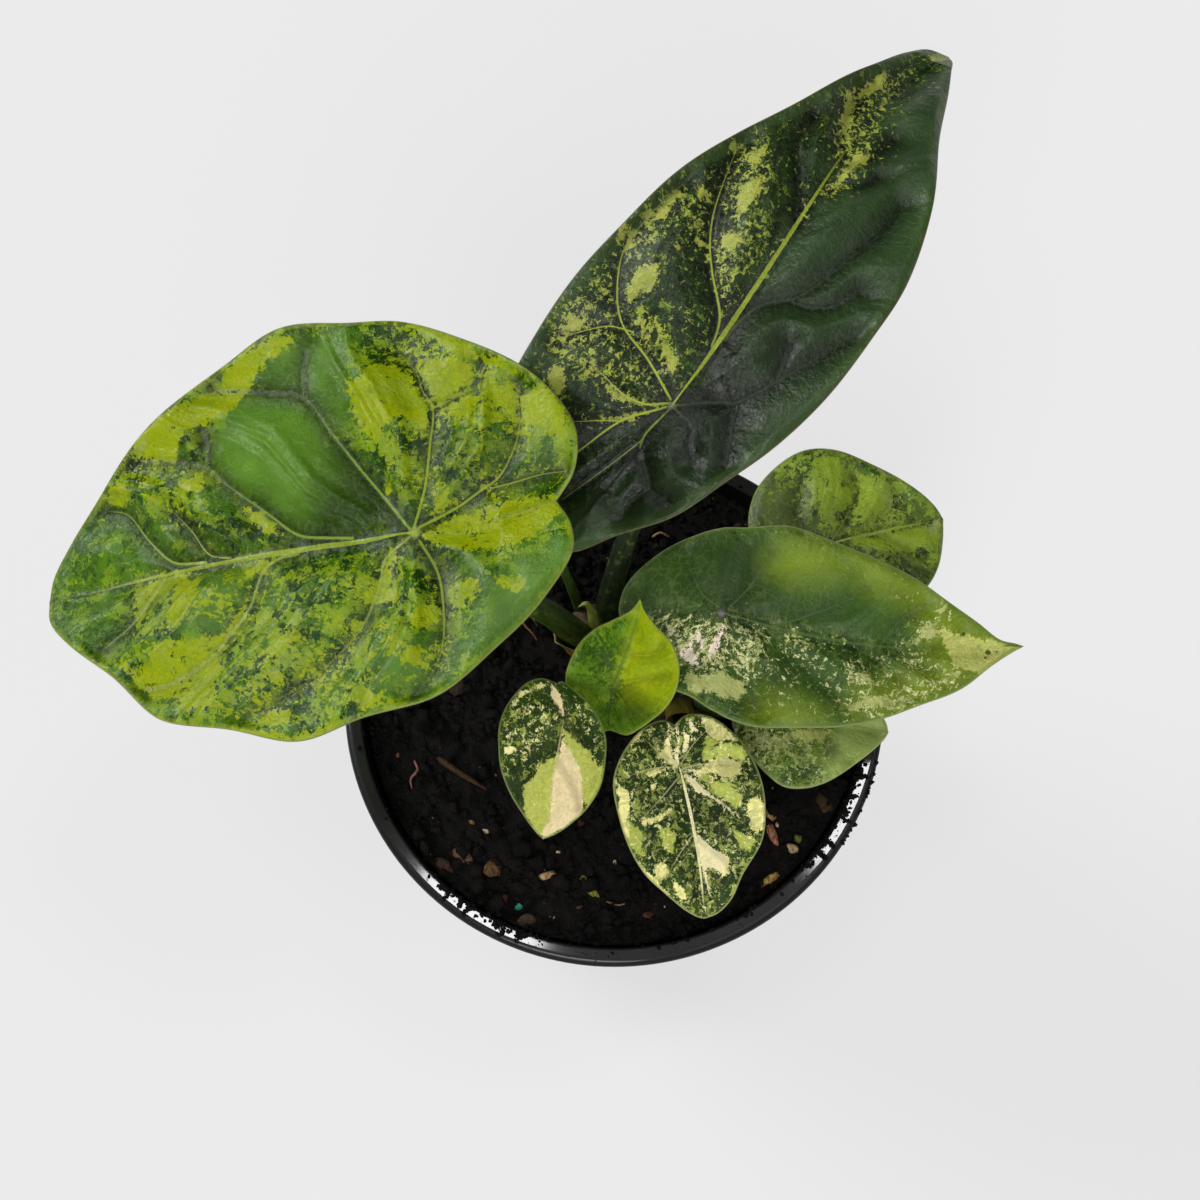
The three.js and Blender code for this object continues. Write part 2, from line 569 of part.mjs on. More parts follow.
addPiece('pot', fromSolid(potSolid()), 0x141414, 0.4);
addPiece('soil', fromSolid(soilSolid()), 0x1d1712, 0.95);
addPiece('stem_left', turned(stemProfile(leftStem.radius, 0), stemSides, leftStem.at), stemColor, 0.8);
addPiece('stem_right', turned(stemProfile(rightStem.radius, 0), stemSides, rightStem.at), stemColor, 0.8);
for (const leaf of leaves) {
  const rod = loft(rodRings(stalkCurve(leaf), stalkSteps, stalkRadius(leaf)));
  addPiece(`stalk_${leaf.name}`, rod, stalkColor, 0.5);
  addPiece(`blade_${leaf.name}`, bladeGeometry(leaf), leaf.color, 0.45);
}
for (const sheath of sheaths) addPiece(sheath.name, sheathGeometry(sheath), sheath.color, 0.7);
const shootCurve = new THREE.CatmullRomCurve3(shootPoints.map((p) => new THREE.Vector3(...p)));
addPiece('shoot', loft(rodRings(shootCurve, shootSteps, shootRadius)), 0xa8b838, 0.5);

export default model;
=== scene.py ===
import json
import math

import bmesh
import bpy
import numpy as np
from mathutils import Matrix, Vector
from mathutils import noise as solid_noise
from mathutils.geometry import delaunay_2d_cdt

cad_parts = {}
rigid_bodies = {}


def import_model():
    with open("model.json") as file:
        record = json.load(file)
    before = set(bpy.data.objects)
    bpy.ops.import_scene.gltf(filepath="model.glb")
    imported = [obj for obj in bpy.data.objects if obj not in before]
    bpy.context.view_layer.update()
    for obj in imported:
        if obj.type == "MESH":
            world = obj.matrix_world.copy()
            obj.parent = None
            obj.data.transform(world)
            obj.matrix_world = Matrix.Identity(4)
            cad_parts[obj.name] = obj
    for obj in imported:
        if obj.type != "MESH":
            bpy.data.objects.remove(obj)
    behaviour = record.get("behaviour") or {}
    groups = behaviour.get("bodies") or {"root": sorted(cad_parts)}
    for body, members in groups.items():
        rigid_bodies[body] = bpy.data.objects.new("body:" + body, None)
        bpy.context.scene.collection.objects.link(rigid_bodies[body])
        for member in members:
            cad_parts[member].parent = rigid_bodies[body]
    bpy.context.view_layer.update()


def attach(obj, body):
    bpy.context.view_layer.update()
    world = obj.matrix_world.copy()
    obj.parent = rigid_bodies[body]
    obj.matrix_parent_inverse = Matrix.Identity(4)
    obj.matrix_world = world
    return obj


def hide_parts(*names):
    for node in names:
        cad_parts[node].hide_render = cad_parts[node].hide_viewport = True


for leftover in list(bpy.data.objects):
    bpy.data.objects.remove(leftover)
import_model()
MM = 0.001

# Pot, soil and stems, as in the part's source. A stem has the place of its middle and its radius.
POT_HEIGHT = 105
RIM_RADIUS = 65
BASE_RADIUS = 47.5
WALL = 1.3
FLOOR = 1.8
RIM_BAND = 10
LIP_WIDTH = 4.3
DRAIN_HOLES = 6
DRAIN_RING = 37
DRAIN_RADIUS = 4
SOIL_LEVEL = 100
GAP = 0.3
STEM_TOP = 101.6
STEMS = {"stem_left": ((-5.2, 17.7), 7), "stem_right": ((15, 2.2), 10)}

# Blade skins: half their thickness, the roundings of their rim and of the fold at the midrib, and how
# far the row of points beside the edge stands from it
HALF_THICK = 0.3
RIM_ROUND = 0.7
FOLD_ROUND = 0.7
EDGE_INSET = 0.35

# The halves of a blade, either side of its midrib
HALVES = ("left", "right")

# Curves and grids: cuts between two knots of a curve, the step between points of a vein, the distance
# of rows in a grid of even triangles over its spacing, and a distance longer than any other
SPLINE_CUTS = 40
VEIN_STEP = 0.4
ROW_SHARE = 0.866
FAR = 1e9

# The coordinate across the veins: its step from one side vein to the next, and a shift that keeps the
# noises of the two halves apart
VEIN_APART = 12
LEFT_SHIFT = 7

# Each leaf: its place, outline and bends repeat the part's source. Veins and patches lie in the
# blade's own millimetres: along from the junction to the tip, and across from the midrib.
LEAVES = {
    "broad_left": dict(
        junction=(-41.5, 10.6, 196), heading=-176.4, pitch=-10, roll=0, tip=89, notch=30,
        left=[(-33, 7), (-33, 13), (-26, 21), (-16, 28), (-4, 36), (12, 39), (26, 42), (40, 38), (57, 33),
              (70, 21), (81, 12), (87.5, 5)],
        right=[(-34, -5), (-35, -14), (-28, -27), (-13, -40), (0, -47), (13, -48), (28, -49), (40, -44),
               (56, -35), (72, -20), (82, -11.5), (87.5, -5)],
        arch=1 / 220, back_arch=0, fold=(10, 10), cross_arch=1 / 170, bow=-0.5, bow_power=1, sway=-3.4,
        wave=0.9, waves=7, vein_depth=1.3, vein_width=4.5,
        stalk=dict(base=(-8, 15), radii=(3.8, 2.1), lift=(-9, 2, 30), reach=30)),
    "tall_back": dict(
        junction=(11.6, 38.6, 196), heading=52, pitch=20, roll=6, tip=116, notch=38,
        left=[(-41, 6), (-40, 16), (-31, 25), (-18, 30.5), (-4, 32.5), (13, 33), (28, 30.5), (42, 27),
              (58, 21), (76, 13), (94, 8), (108, 6), (114, 4)],
        right=[(-38, -3), (-29, -8), (-18, -15), (-6, -19), (6, -23), (20, -26), (35, -27), (50, -27),
               (67, -23), (86, -15), (98, -10), (108, -5), (114, -2)],
        arch=1 / 120, back_arch=1 / 200, fold=(4, 12), cross_arch=1 / 130, bow=4, bow_power=2, sway=3,
        wave=0.8, waves=8, vein_depth=1.6, vein_width=4.5,
        stalk=dict(base=(-2, 20.6), radii=(3.3, 1.9), lift=(2, 7, 30), reach=12)),
    "pointed_right": dict(
        junction=(24.1, 9.9, 141), heading=-3.8, pitch=2, roll=0, tip=72, notch=15,
        left=[(-19, 3), (-23, 8), (-22, 14), (-16, 17), (-6, 19), (4, 21), (15, 24), (24, 23), (35, 20),
              (44, 16), (52, 11), (60, 6), (66, 1.8), (70, 0.7)],
        right=[(-17, -5), (-16, -11), (-12, -16), (-6, -20), (0, -24), (8, -25), (18, -23), (28, -21),
               (37, -18), (46, -14), (56, -10), (63, -5), (68, -2)],
        arch=1 / 190, back_arch=1 / 120, fold=(10, 10), cross_arch=1 / 120, bow=-4.5, bow_power=1, sway=-4,
        wave=0.5, waves=6, vein_depth=0.9, vein_width=3.2,
        stalk=dict(base=(16.6, 4.4), radii=(2.8, 1.5), lift=(2, 2, 12), reach=12)),
    "round_back_right": dict(
        junction=(50.2, 30.5, 128), heading=17.8, pitch=0, roll=0, tip=31.5, notch=10,
        left=[(-13, 2), (-16, 6), (-16, 11), (-12, 18), (-6, 22), (2, 24), (10, 22), (18, 16), (25, 9),
              (30, 3)],
        right=[(-12, -5), (-11, -12), (-6, -17), (2, -20), (10, -20), (18, -17), (24, -12), (29, -5)],
        arch=1 / 60, back_arch=1 / 80, fold=(10, 10), cross_arch=1 / 70, bow=0, bow_power=1, sway=0,
        wave=0.5, waves=5, vein_depth=0.7, vein_width=2.5,
        stalk=dict(base=(21.4, 6.4), radii=(1.9, 1.1), lift=(7, 6, 14), reach=9)),
    "young_centre": dict(
        junction=(-0.3, -7.2, 141), heading=71.6, pitch=28, roll=0, tip=21, notch=10.5,
        left=[(-11, 3), (-8, 8), (-2, 11), (3, 12), (8, 11.5), (12, 9), (15, 5), (18, 1.4)],
        right=[(-10, -4), (-7, -8), (-4, -11), (0, -14), (5, -14.5), (10, -13), (14, -10), (17, -4.5),
               (19, -1.4)],
        arch=0, back_arch=1 / 60, fold=(22, 22), cross_arch=0, bow=-0.8, bow_power=1, sway=-2.2,
        wave=0.3, waves=4, vein_depth=0.4, vein_width=1.8,
        stalk=dict(base=(10.2, 1.8), radii=(1.9, 1.1), lift=(-1, -1, 16), reach=14)),
    "small_front_left": dict(
        junction=(-11.5, -16.4, 146), heading=-100.2, pitch=-6, roll=0, tip=27, notch=8,
        left=[(-8.5, 1.5), (-6.5, 4), (-3, 7), (2, 10), (7, 11), (13, 11), (18, 9), (22, 6), (25, 3)],
        right=[(-8.5, -2.5), (-7.5, -6), (-5, -9.8), (-1, -13), (4, -14), (9, -13.2), (13, -12), (18, -9),
               (22, -5.5), (25.5, -2)],
        arch=1 / 90, back_arch=1 / 60, fold=(16, 16), cross_arch=1 / 60, bow=0, bow_power=1, sway=-3,
        wave=0.4, waves=4, vein_depth=0.4, vein_width=1.8,
        stalk=dict(base=(8.4, -3), radii=(1.7, 1), lift=(-3, -3, 12), reach=22)),
    "small_front": dict(
        junction=(14.8, -23.4, 128), heading=-80.1, pitch=-4, roll=0, tip=35, notch=10.5,
        left=[(-12, 3), (-10.5, 8.5), (-7, 12.5), (-2, 16), (5, 17.5), (12, 17), (19, 15), (26, 9.5),
              (31, 6.5), (34, 3)],
        right=[(-12, -2.5), (-10.5, -7.5), (-5, -13), (1, -16), (8, -16.5), (16, -15.5), (22, -13),
               (27, -9),
               (32, -4.5), (34.4, -1.5)],
        arch=1 / 80, back_arch=1 / 80, fold=(14, 14), cross_arch=1 / 70, bow=0.8, bow_power=1, sway=0.6,
        wave=0.5, waves=5, vein_depth=0.5, vein_width=2.2,
        stalk=dict(base=(15.6, -3.2), radii=(2.5, 1.4), lift=(0.8, -1.5, 9), reach=10)),
    "low_right": dict(
        junction=(37.8, -7.4, 118), heading=-8.5, pitch=0, roll=0, tip=27.5, notch=9,
        left=[(-10, 3), (-9, 8), (-4, 13), (3, 16), (10, 15), (17, 11), (23, 5.5), (26.5, 2)],
        right=[(-10, -3), (-8.5, -7), (-4, -12.5), (0, -16), (4, -18), (9, -17.5), (14, -15), (20, -9.5),
               (25, -4), (26.8, -1.5)],
        arch=1 / 90, back_arch=1 / 60, fold=(12, 12), cross_arch=1 / 80, bow=0, bow_power=1, sway=0,
        wave=0.4, waves=5, vein_depth=0.4, vein_width=2,
        stalk=dict(base=(20.6, -0.8), radii=(1.8, 1.1), lift=(2, -5, 6), reach=6)),
    "hidden_left": dict(
        junction=(-19, 37, 150), heading=140, pitch=-5, roll=0, tip=32, notch=9,
        left=[(-12, 5), (-8, 11), (0, 14), (10, 13), (20, 9), (28, 4)],
        right=[(-12, -5), (-8, -11), (0, -14), (10, -13), (20, -9), (28, -4)],
        arch=1 / 90, back_arch=1 / 80, fold=(12, 12), cross_arch=1 / 80, bow=0, bow_power=1, sway=0,
        wave=0.4, waves=5, vein_depth=0.4, vein_width=2,
        stalk=dict(base=(-8.6, 23.2), radii=(1.4, 0.9), lift=(-3.5, 4, 20), reach=10)),
}

# Side veins of each blade, from the sinus round to the tip, with the branches after them
VEINS = {
    "broad_left": dict(
        left=[[(-1, 2), (-4, 8), (-5, 13), (-5, 24), (-3, 30), (1, 35)],
              [(1, 1), (7, 5), (8, 10), (12, 19), (19, 26), (25, 30), (37, 35)],
              [(26, 0.4), (31, 1), (34, 3), (37, 11), (42, 17), (46, 21), (56, 25), (63, 25)],
              [(58, 0), (63, 7), (66, 10), (73, 14)]],
        right=[[(-1, -1), (-8, -4), (-14, -7), (-18, -9), (-21, -13), (-23, -18), (-23, -28)],
               [(0, -1), (-2, -8), (-4, -19), (-5, -27), (-3, -31), (-2, -35), (2, -41)],
               [(1, -1), (11, -15), (17, -24), (23, -33), (32, -36), (45, -39)],
               [(14, -0.8), (20, -1.6), (26, -3), (33, -9), (41, -16), (46, -21), (58, -25), (64, -26)],
               [(48, -0.6), (56, -2), (62, -8), (67, -15), (72, -17)]],
        branches=[[(23, -33), (23, -39), (22, -44)], [(46, -22), (46, -27), (47, -30)],
                  [(42, -0.5), (47, -2), (51, -8), (55, -13)],
                  [(-5, -27), (-9, -28), (-13, -30), (-16, -34)],
                  [(-16, -7), (-21, -7), (-27, -7), (-32, -6)]]),
    "tall_back": dict(
        left=[[(-1, 1), (-9, 7), (-19, 10), (-32, 13)],
              [(0, 1), (-3, 5), (-4, 10), (-3, 17)],
              [(1, 1), (5, 10), (8, 19), (13, 24), (21, 28), (27, 28), (33, 27), (41, 25)],
              [(15, 0.4), (19, 1.4), (22, 3), (28, 9), (33, 13), (39, 16), (51, 19), (57, 20)],
              [(49, 0), (55, 3), (59, 6), (65, 10), (73, 10)],
              [(70, 0), (78, 4), (90, 6)]],
        right=[[(-1, 0), (-9, 1), (-13, -1), (-15, -4), (-17, -6), (-17, -11)],
               [(0, 0), (-1, -6), (-4, -8), (-6, -10)],
               [(0, 0), (7, -8), (8, -10), (13, -13), (21, -17), (31, -22), (34, -24)],
               [(18, -0.5), (24, -1), (29, -3), (34, -8), (40, -11), (47, -13), (56, -16), (65, -17)],
               [(59, -1), (63, -4), (65, -7), (69, -9)],
               [(68, -2), (72, -5), (80, -7)]],
        branches=[[(8, 16), (6, 21), (2, 25), (-2, 28)], [(-9, 7), (-11, 10), (-15, 15)],
                  [(8, -11), (5, -12), (1, -14), (-3, -16)], [(17, -15), (21, -14), (25, -13)],
                  [(33, -8), (34, -12), (37, -16), (43, -19)], [(-17, -6), (-21, -5), (-24, -5)],
                  [(-10, 1), (-18, 3), (-30, 6)]]),
    "pointed_right": dict(
        left=[[(0, 1), (-4, 4), (-7, 10), (-8, 14)], [(2, 2), (5, 6), (8, 11), (11, 17)],
              [(16, 2), (21, 5), (28, 9), (33, 13)], [(37, 0), (42, 7), (47, 10)], [(50, 0), (56, 4)]],
        right=[[(-1, 0), (-4, -6), (-7, -10), (-10, -12)], [(1, 0), (3, -5), (4, -10), (9, -20)],
               [(10, 0), (18, -7), (28, -14)], [(30, 0), (37, -4), (44, -10)], [(42, -1), (50, -6)]]),
    "round_back_right": dict(
        left=[[(-1, 0), (-4.5, 2.5), (-4.5, 6), (-4, 10), (-2, 16)],
              [(1, 0.5), (6, 5), (10.5, 10), (12, 15)],
              [(11.5, 0), (15.5, 3.5), (21, 7)]],
        right=[[(-1, -1), (-4, -5), (-7, -11)], [(2, -0.5), (7.5, -5.5), (13.5, -13)],
               [(12, 0), (17, -4), (21, -9)]]),
    "young_centre": dict(
        left=[[(-1, 1), (-4, 6)], [(1, 1), (5, 5), (8, 9)], [(9, 0), (12, 4)]],
        right=[[(-1, -1), (-5, -6)], [(1, -1), (4, -6), (7, -11)], [(8, -1), (10, -6), (13, -8)]]),
    "small_front_left": dict(
        left=[[(-1, 0.5), (-5, 3)], [(1, 1), (6, 6), (12, 9)], [(9, 0), (15, 5), (19, 7)]],
        right=[[(-1, -0.5), (-5, -6)], [(1, -1), (5, -6), (11, -10)], [(9, 0), (15, -5), (18, -7)]]),
    "small_front": dict(
        left=[[(-1, 0.5), (-5, 4), (-8, 8)], [(0, 1), (0, 6), (1, 13)], [(1, 1), (4, 3), (9, 7), (15, 13)],
              [(16, 0), (21, 5), (26, 8)]],
        right=[[(-1, -1), (-4, -4), (-8, -7)], [(-0.5, -1), (-1, -6), (0, -13)],
               [(2, -1), (6, -6), (11, -13)],
               [(15, 0), (20, -5), (25, -9)]]),
    "low_right": dict(
        left=[[(-1, 1), (-4, 7)], [(1, 1), (6, 6), (12, 12)], [(9, 0), (15, 5), (20, 8)]],
        right=[[(-1, -1), (-4, -7)], [(1, -1), (5, -8), (9, -15)], [(9, 0), (14, -6), (19, -10)]]),
    "hidden_left": dict(
        left=[[(-1, 1), (-5, 7)], [(1, 1), (6, 6), (12, 10)], [(10, 0), (16, 5), (21, 7)]],
        right=[[(-1, -1), (-5, -7)], [(1, -1), (6, -6), (12, -10)], [(10, 0), (16, -5), (21, -7)]]),
}

# Patches of each blade. Pale ones are chartreuse or cream, plain ones have no mottling, deep ones are
# darker, partly as darker tissue and partly as painted shade near the junction, cream ones turn the pale
# colour to cream, glow and lime ones have soft edges and a colour of their own, and dense and dusted
# ones carry many or some fine flecks. Broken ones turn pale in shreds. A number before an outline says
# how strongly it counts.
PATCHES = {
    "broad_left": dict(
        pale=[
            [(45, -39), (36, -45), (25, -48), (24, -46), (31, -42), (37, -37)],
            [(46, -39), (37, -37), (40, -32), (47, -31), (50, -30), (54, -24), (64, -27), (59, -33),
             (49, -37)],
            [(53, -19), (47, -20), (46, -16), (51, -16)],
            [(38, -11), (34, -9), (29, -3), (32, -4), (36, -7)],
            [(67, -23), (65, -20), (66, -17), (69, -16), (71, -19)],
            [(11.5, -31.5), (7, -38), (3, -37), (-0.5, -35), (-2.5, -31.5), (-4, -26.5), (-3.5, -21),
             (1, -25.5), (5, -22), (5.5, -19.5), (8.5, -20.5), (11.5, -26)],
            [(-2, -36), (-5, -37.5), (-10, -37), (-14.5, -34.5), (-15.5, -31.5), (-11.5, -30), (-8, -28),
             (-6, -27), (-4, -32)],
            [(-16, -29.5), (-23, -28.5), (-23.5, -24), (-22.5, -17), (-20, -23), (-18, -23.5)],
            [(-24, -25), (-29, -24.5), (-33.5, -18.5), (-33.5, -12.5), (-32, -11), (-29, -15),
             (-25.5, -18), (-24, -14.5), (-23, -15.5)],
            [(-8, -27), (-13.5, -28), (-15.5, -28), (-14, -23), (-11, -21.5), (-8.5, -24)],
            [(-1, 0.5), (-8, -2), (-14.5, -3), (-21.5, -3), (-30, -1), (-31, 3), (-28, 5.5), (-22.5, 8),
             (-14, 6.5), (-7.5, 4.5), (-2.5, 2.5)],
            [(6.5, -47), (-3.5, -46.5), (-10, -42), (-16.5, -36), (-23, -31), (-25.5, -28.5), (-23, -29),
             (-16.5, -34), (-10, -37.5), (-5, -43.5), (0.5, -45)],
            [(6.5, -12), (4.5, -12), (4.5, -9.5), (6, -8)],
            [(-4.5, -7), (-8.5, -9), (-7, -4.5), (-4, -3)],
            [(3, -17.5), (-1, -17.5), (-1, -14), (1.5, -15)],
            [(66, 1), (58, 0), (51, 0), (53, 2), (60, 5), (62, 8), (63, 12), (65, 10)],
            [(55, 7), (53, 2), (48, 3), (48, 7), (52, 14), (55, 14)],
            [(38, 3), (34, 1), (31, 0), (32, 2), (38, 5)],
            [(38, 10), (38, 13), (40, 17), (42, 16), (41, 13)],
            [(68, 19), (67, 18), (60, 20), (58, 16), (50, 17), (42, 16), (43, 23), (42, 33), (49, 33),
             (54, 29), (60, 28), (64, 25)],
            [(33, 23), (30, 20), (25, 19), (23, 21), (29, 24)],
            [(33, 27), (28, 27), (29, 30), (32, 29)],
            [(35, 37), (33, 35), (29, 34), (27, 36), (28, 38), (33, 38)],
            [(38, 38), (27, 41), (18, 39), (17, 40), (25, 43), (37, 40)],
            [(6, 3), (4, 3), (5, 7), (6, 11), (3, 13), (4, 15), (11, 14), (14, 14), (8, 9)],
            [(15, 17), (12, 18), (12, 20), (14, 20)],
            [(8, 18), (5, 19), (5, 21), (8, 21)],
            [(6, 22), (3, 23), (3, 26), (6, 25)],
            [(-4, 11), (-5, 19), (0, 22), (2, 20), (-2, 15)],
            [(-6, 13), (-9, 12), (-14, 13), (-14, 16), (-10, 18), (-6, 16)],
            [(-17, 14), (-23, 15), (-23, 18), (-17, 16)],
            [(15, 34), (11, 33), (7, 34), (5, 36), (11, 38), (14, 35)],
            [(3, 26), (-1, 26), (0, 29), (3, 28)],
        ],
        broken=[
            (0.4, [(13, -34), (8, -46), (-3, -46), (-17, -37), (-26, -29), (-33, -20), (-34, -9),
              (-31, -3), (-20, -4), (-3, -1), (6, -13), (10, -24)]),
            (0.34, [(58, -12), (50, -8), (46, -14), (48, -20), (55, -26), (66, -24), (70, -19)]),
            (0.3, [(62, 2), (40, 2), (20, 3), (2, 3), (-6, 10), (-14, 20), (-4, 34), (20, 41), (40, 38),
              (58, 32), (68, 18)]),
        ],
        plain=[
            [(1, -1), (9, -12), (17, -24), (23, -33), (32, -36), (37, -37), (41, -30), (45, -27),
             (41, -16), (33, -9), (26, -3), (14, -2)],
            [(32, -36), (35, -41), (28, -44), (23, -46), (13, -45), (11, -35), (12, -23), (17, -24),
             (23, -33)],
            (0.25, [(88, 0), (85, -9), (72, -18), (60, -10), (58, -2), (71, -1)]),
            (0.3, [(88, 1), (67, 1), (65, 10), (69, 18), (80, 12)]),
            [(47, 2), (39, 4), (39, 8), (42, 12), (42, 16), (50, 16), (53, 12), (50, 8)],
            [(-9, 6), (-14, 7), (-14, 13), (-9, 11)],
            [(-14, 15), (-24, 11), (-33, 11), (-31, 17), (-21, 25), (-14, 26)],
            [(9, 26), (-1, 24), (-5, 29), (-2, 34), (7, 33)],
        ],
        deep=[
            (0.9, [(2, -1), (6, -10), (13, -17), (19, -11), (22, -5), (20, -2)]),
            (0.7, [(32, -41), (25, -41), (25, -35), (30, -36)]),
            [(-2, 3), (-7, 6), (-6, 12), (-5, 14), (-4, 8)],
            (0.6, [(50, -30), (47, -30), (47, -28), (50, -28)]),
            (0.45, [(-5.5, -24.5), (-8.5, -22), (-13, -22), (-15.5, -18.5), (-21, -15.5), (-18.5, -9.5),
              (-10, -7.5), (-4.5, -10.5)]),
            (0.5, [(-3.5, -1.5), (-10, -5), (-19.5, -6), (-28.5, -4.5), (-28, -2), (-17.5, -4),
              (-8, -2.5)]),
            (0.35, [(-22.5, -13), (-25.5, -17), (-29, -15), (-31.5, -10), (-28.5, -8.5), (-23, -8.5)]),
            (0.55, [(60, -2), (40, -3), (24, -3), (24, -7), (36, -10), (48, -9)]),
        ]
    ),
    "tall_back": dict(
        broken=[
            (0.04, [(0, 33), (8, 32), (20, 30), (40, 26), (43, 18), (50, 14), (48, 7), (36, 8), (24, 12),
              (12, 4), (2, 2), (-4, 10), (-8, 20), (-10, 26)]),
            (0.05, [(70, 5), (84, 7), (99, 4), (94, -1), (72, -5), (62, -4), (66, 1)]),
        ],
        pale=[
            [(47.5, 14.5), (50.5, 13), (52, 11.5), (49, 9.5), (45.5, 10), (42.5, 10.5), (39, 10),
             (42.5, 12.5)],
            [(35.5, 11.5), (38, 10.5), (38.5, 8.5), (35.5, 7.5), (34, 8.5), (34, 10.5)],
            [(31.5, 27), (36, 26.5), (39.5, 25.5), (39, 24.5), (35.5, 24), (31.5, 24), (31, 25.5)],
            [(22, 31), (26, 31), (29.5, 30), (26.5, 29.5), (22, 29.5)],
            [(21, 28), (25.5, 29.5), (27.5, 28), (25, 27.5), (22, 27)],
            [(14.5, 22.5), (19.5, 23.5), (21.5, 21), (23, 19), (19.5, 17.5), (16, 17), (16, 19),
             (12.5, 20.5)],
            [(12.5, 18.5), (13.5, 17.5), (10.5, 14), (7.5, 10.5), (7, 11.5), (9.5, 15)],
            [(12.5, 14), (12.5, 11), (9.5, 7.5), (9, 4.5), (5.5, 3.5), (6, 5.5), (8.5, 9), (10.5, 11.5)],
            [(-2, 29), (0, 29.5), (3, 29), (5, 26.5), (2.5, 25.5), (-0.5, 27)],
            [(-10.5, 25), (-7, 25.5), (-6, 24), (-9, 20.5), (-12, 20), (-12.5, 22.5)],
            [(-8, 19.5), (-6.5, 20), (-3, 19.5), (-3.5, 17.5), (-6, 18)],
            [(39.5, 21.5), (42, 21), (42.5, 19), (41, 18.5), (39.5, 20)],
            [(32.5, 18.5), (34.5, 18.5), (36, 17.5), (33.5, 16.5)],
            [(27, 18.5), (29, 18), (29, 17), (27, 17)],
            [(32, 17.5), (32.5, 13), (31, 14.5)],
            [(53.5, 21), (55.5, 21), (56.5, 19.5), (54, 19.5)],
            [(54.5, 17.5), (58.5, 15), (58, 13.5), (52, 14), (53, 15.5)],
            [(17, 9.5), (18, 9), (16.5, 6.5), (16, 7)],
            [(29, 28.5), (32, 28), (31.5, 27), (29, 27)],
            [(59.5, -1), (64.5, -2), (69, -1.5), (71, -2.5), (69.5, -3.5), (65.5, -3), (62.5, -3.5)],
            [(-4, 15), (-4, 12.5), (-3.5, 9), (-1, 1.5), (-4, 5.5), (-6, 11.5)],
            [(-11, 11), (-3.5, 3), (-8, 6), (-11, 9.5)],
            [(79.5, 5.5), (83.5, 7), (87, 6.5), (83, 4.5), (73.5, 1), (75.5, 4)],
            [(85, 6), (91, 6), (97, 4.5), (92, 2.6), (86, 4)],
            [(111, 2.5), (115, 2), (116, -1), (112, -1.5), (109, 0.5)],
            [(71, -0.5), (73, -4.5), (70.5, -5), (69, -2)],
        ],
        plain=[
            [(0, 0), (60, 0), (90, -1), (98, -10), (70, -24), (35, -29), (5, -25), (-20, -17), (-42, -3),
             (-30, 5)],
        ],
        deep=[
            [(1, -1), (22, -1), (18, -8), (9, -9), (3, -6)],
            [(-3, -1), (-16, 2), (-14, -3), (-5, -7)],
        ],
        dense=[
            [(-0.5, 33.5), (8.5, 32), (20.5, 29.5), (9, 20.5), (4.5, 11.5), (1, 3), (-3, 12), (-7, 19),
             (-7.5, 28.5)],
            [(21.5, 30), (30, 29.5), (39.5, 26), (42.5, 18.5), (33.5, 14), (30, 20.5), (21, 23),
             (17.5, 26)],
            [(32.5, 14), (37.5, 12), (44, 9), (44.5, 2.5), (37, 0.5), (26.5, 1), (22, 2.5), (24.5, 8.5)],
            [(12.5, 21), (15, 15), (10, 4.5), (2.5, 1.5), (4, 8.5), (7.5, 17)],
            [(54, 21), (60.5, 15), (52.5, 8.5), (41, 7), (41.5, 16)],
            [(71, 5), (84, 7), (99.5, 4.5), (108.5, 2), (94, -1.5), (73.5, -6.5), (69, -4.5), (61, -4.5),
             (67.5, 1.5)],
            [(72, 0.5), (76, -5), (69.5, -7.5), (60.5, -6), (56, -1)],
        ],
        dusted=[
            [(-11.5, 33), (7.5, 35), (25.5, 31.5), (40, 30.5), (63.5, 19), (73, 14), (105, 7),
             (116.5, 2.5), (79.5, -9.5), (69, -6.5), (43.5, -1), (27, 0), (11, 0.5), (0.5, 0.5),
             (-5.5, 4.5), (-15, 13.5), (-16.5, 25)],
        ]
    ),
    "pointed_right": dict(
        lime=[[(52, 4), (58, 3), (66, 0.5), (74, -2), (70, -4), (60, -7), (54, -5)]],
        pale=[
            [(-8.5, -16), (-7, -13.5), (-3.5, -15.5), (0.5, -14), (3.5, -14.5), (6.5, -15), (6.5, -17),
             (4.5, -20), (2, -20.5), (-1, -20), (-5, -19.5), (-7.5, -17)],
            [(-9, -8.5), (-6.5, -6.5), (-5.5, -8), (-4.5, -11.5), (-3.5, -13.5), (-6.5, -12), (-8, -10.5)],
            [(-2.5, -10), (-1, -5.5), (1, -0.5), (2, -1.5), (1.5, -4.5), (0, -7.5), (-1.5, -11.5)],
            [(-11.5, -2), (-10.5, -2.5), (-11, -4)],
            [(-15.5, 2), (-11.5, 0.5), (-9, -1), (-12.5, -0.5)],
            [(-5.5, -5.5), (-4.5, -4), (-3.5, -8), (-4.5, -9.5)],
            [(18.5, -1.5), (19.5, -1.5), (21, -3.5), (19.5, -3.5)],
            [(14, -0.5), (16.5, -3), (15, -3)],
            [(8, -3.5), (9.5, -2.5), (9, -8), (8.5, -7.5)],
            [(6, -7.5), (7.5, -7), (7.5, -10), (7, -10)],
            [(31.5, -7.5), (34.5, -7.5), (35.5, -9.5), (32.5, -10)],
            [(28.5, -16), (34.5, -12.5), (40, -13), (43.5, -14), (39.5, -15.5), (34.5, -15), (30, -17)],
            [(51.5, -7), (55.5, -5.5), (55.5, -7.5), (52, -8)],
            [(46, 4), (48, 6), (51, 4), (49, 1.5), (45.5, 2.5)],
            [(48.5, 9), (51.5, 9.5), (51, 8), (49, 8.5)],
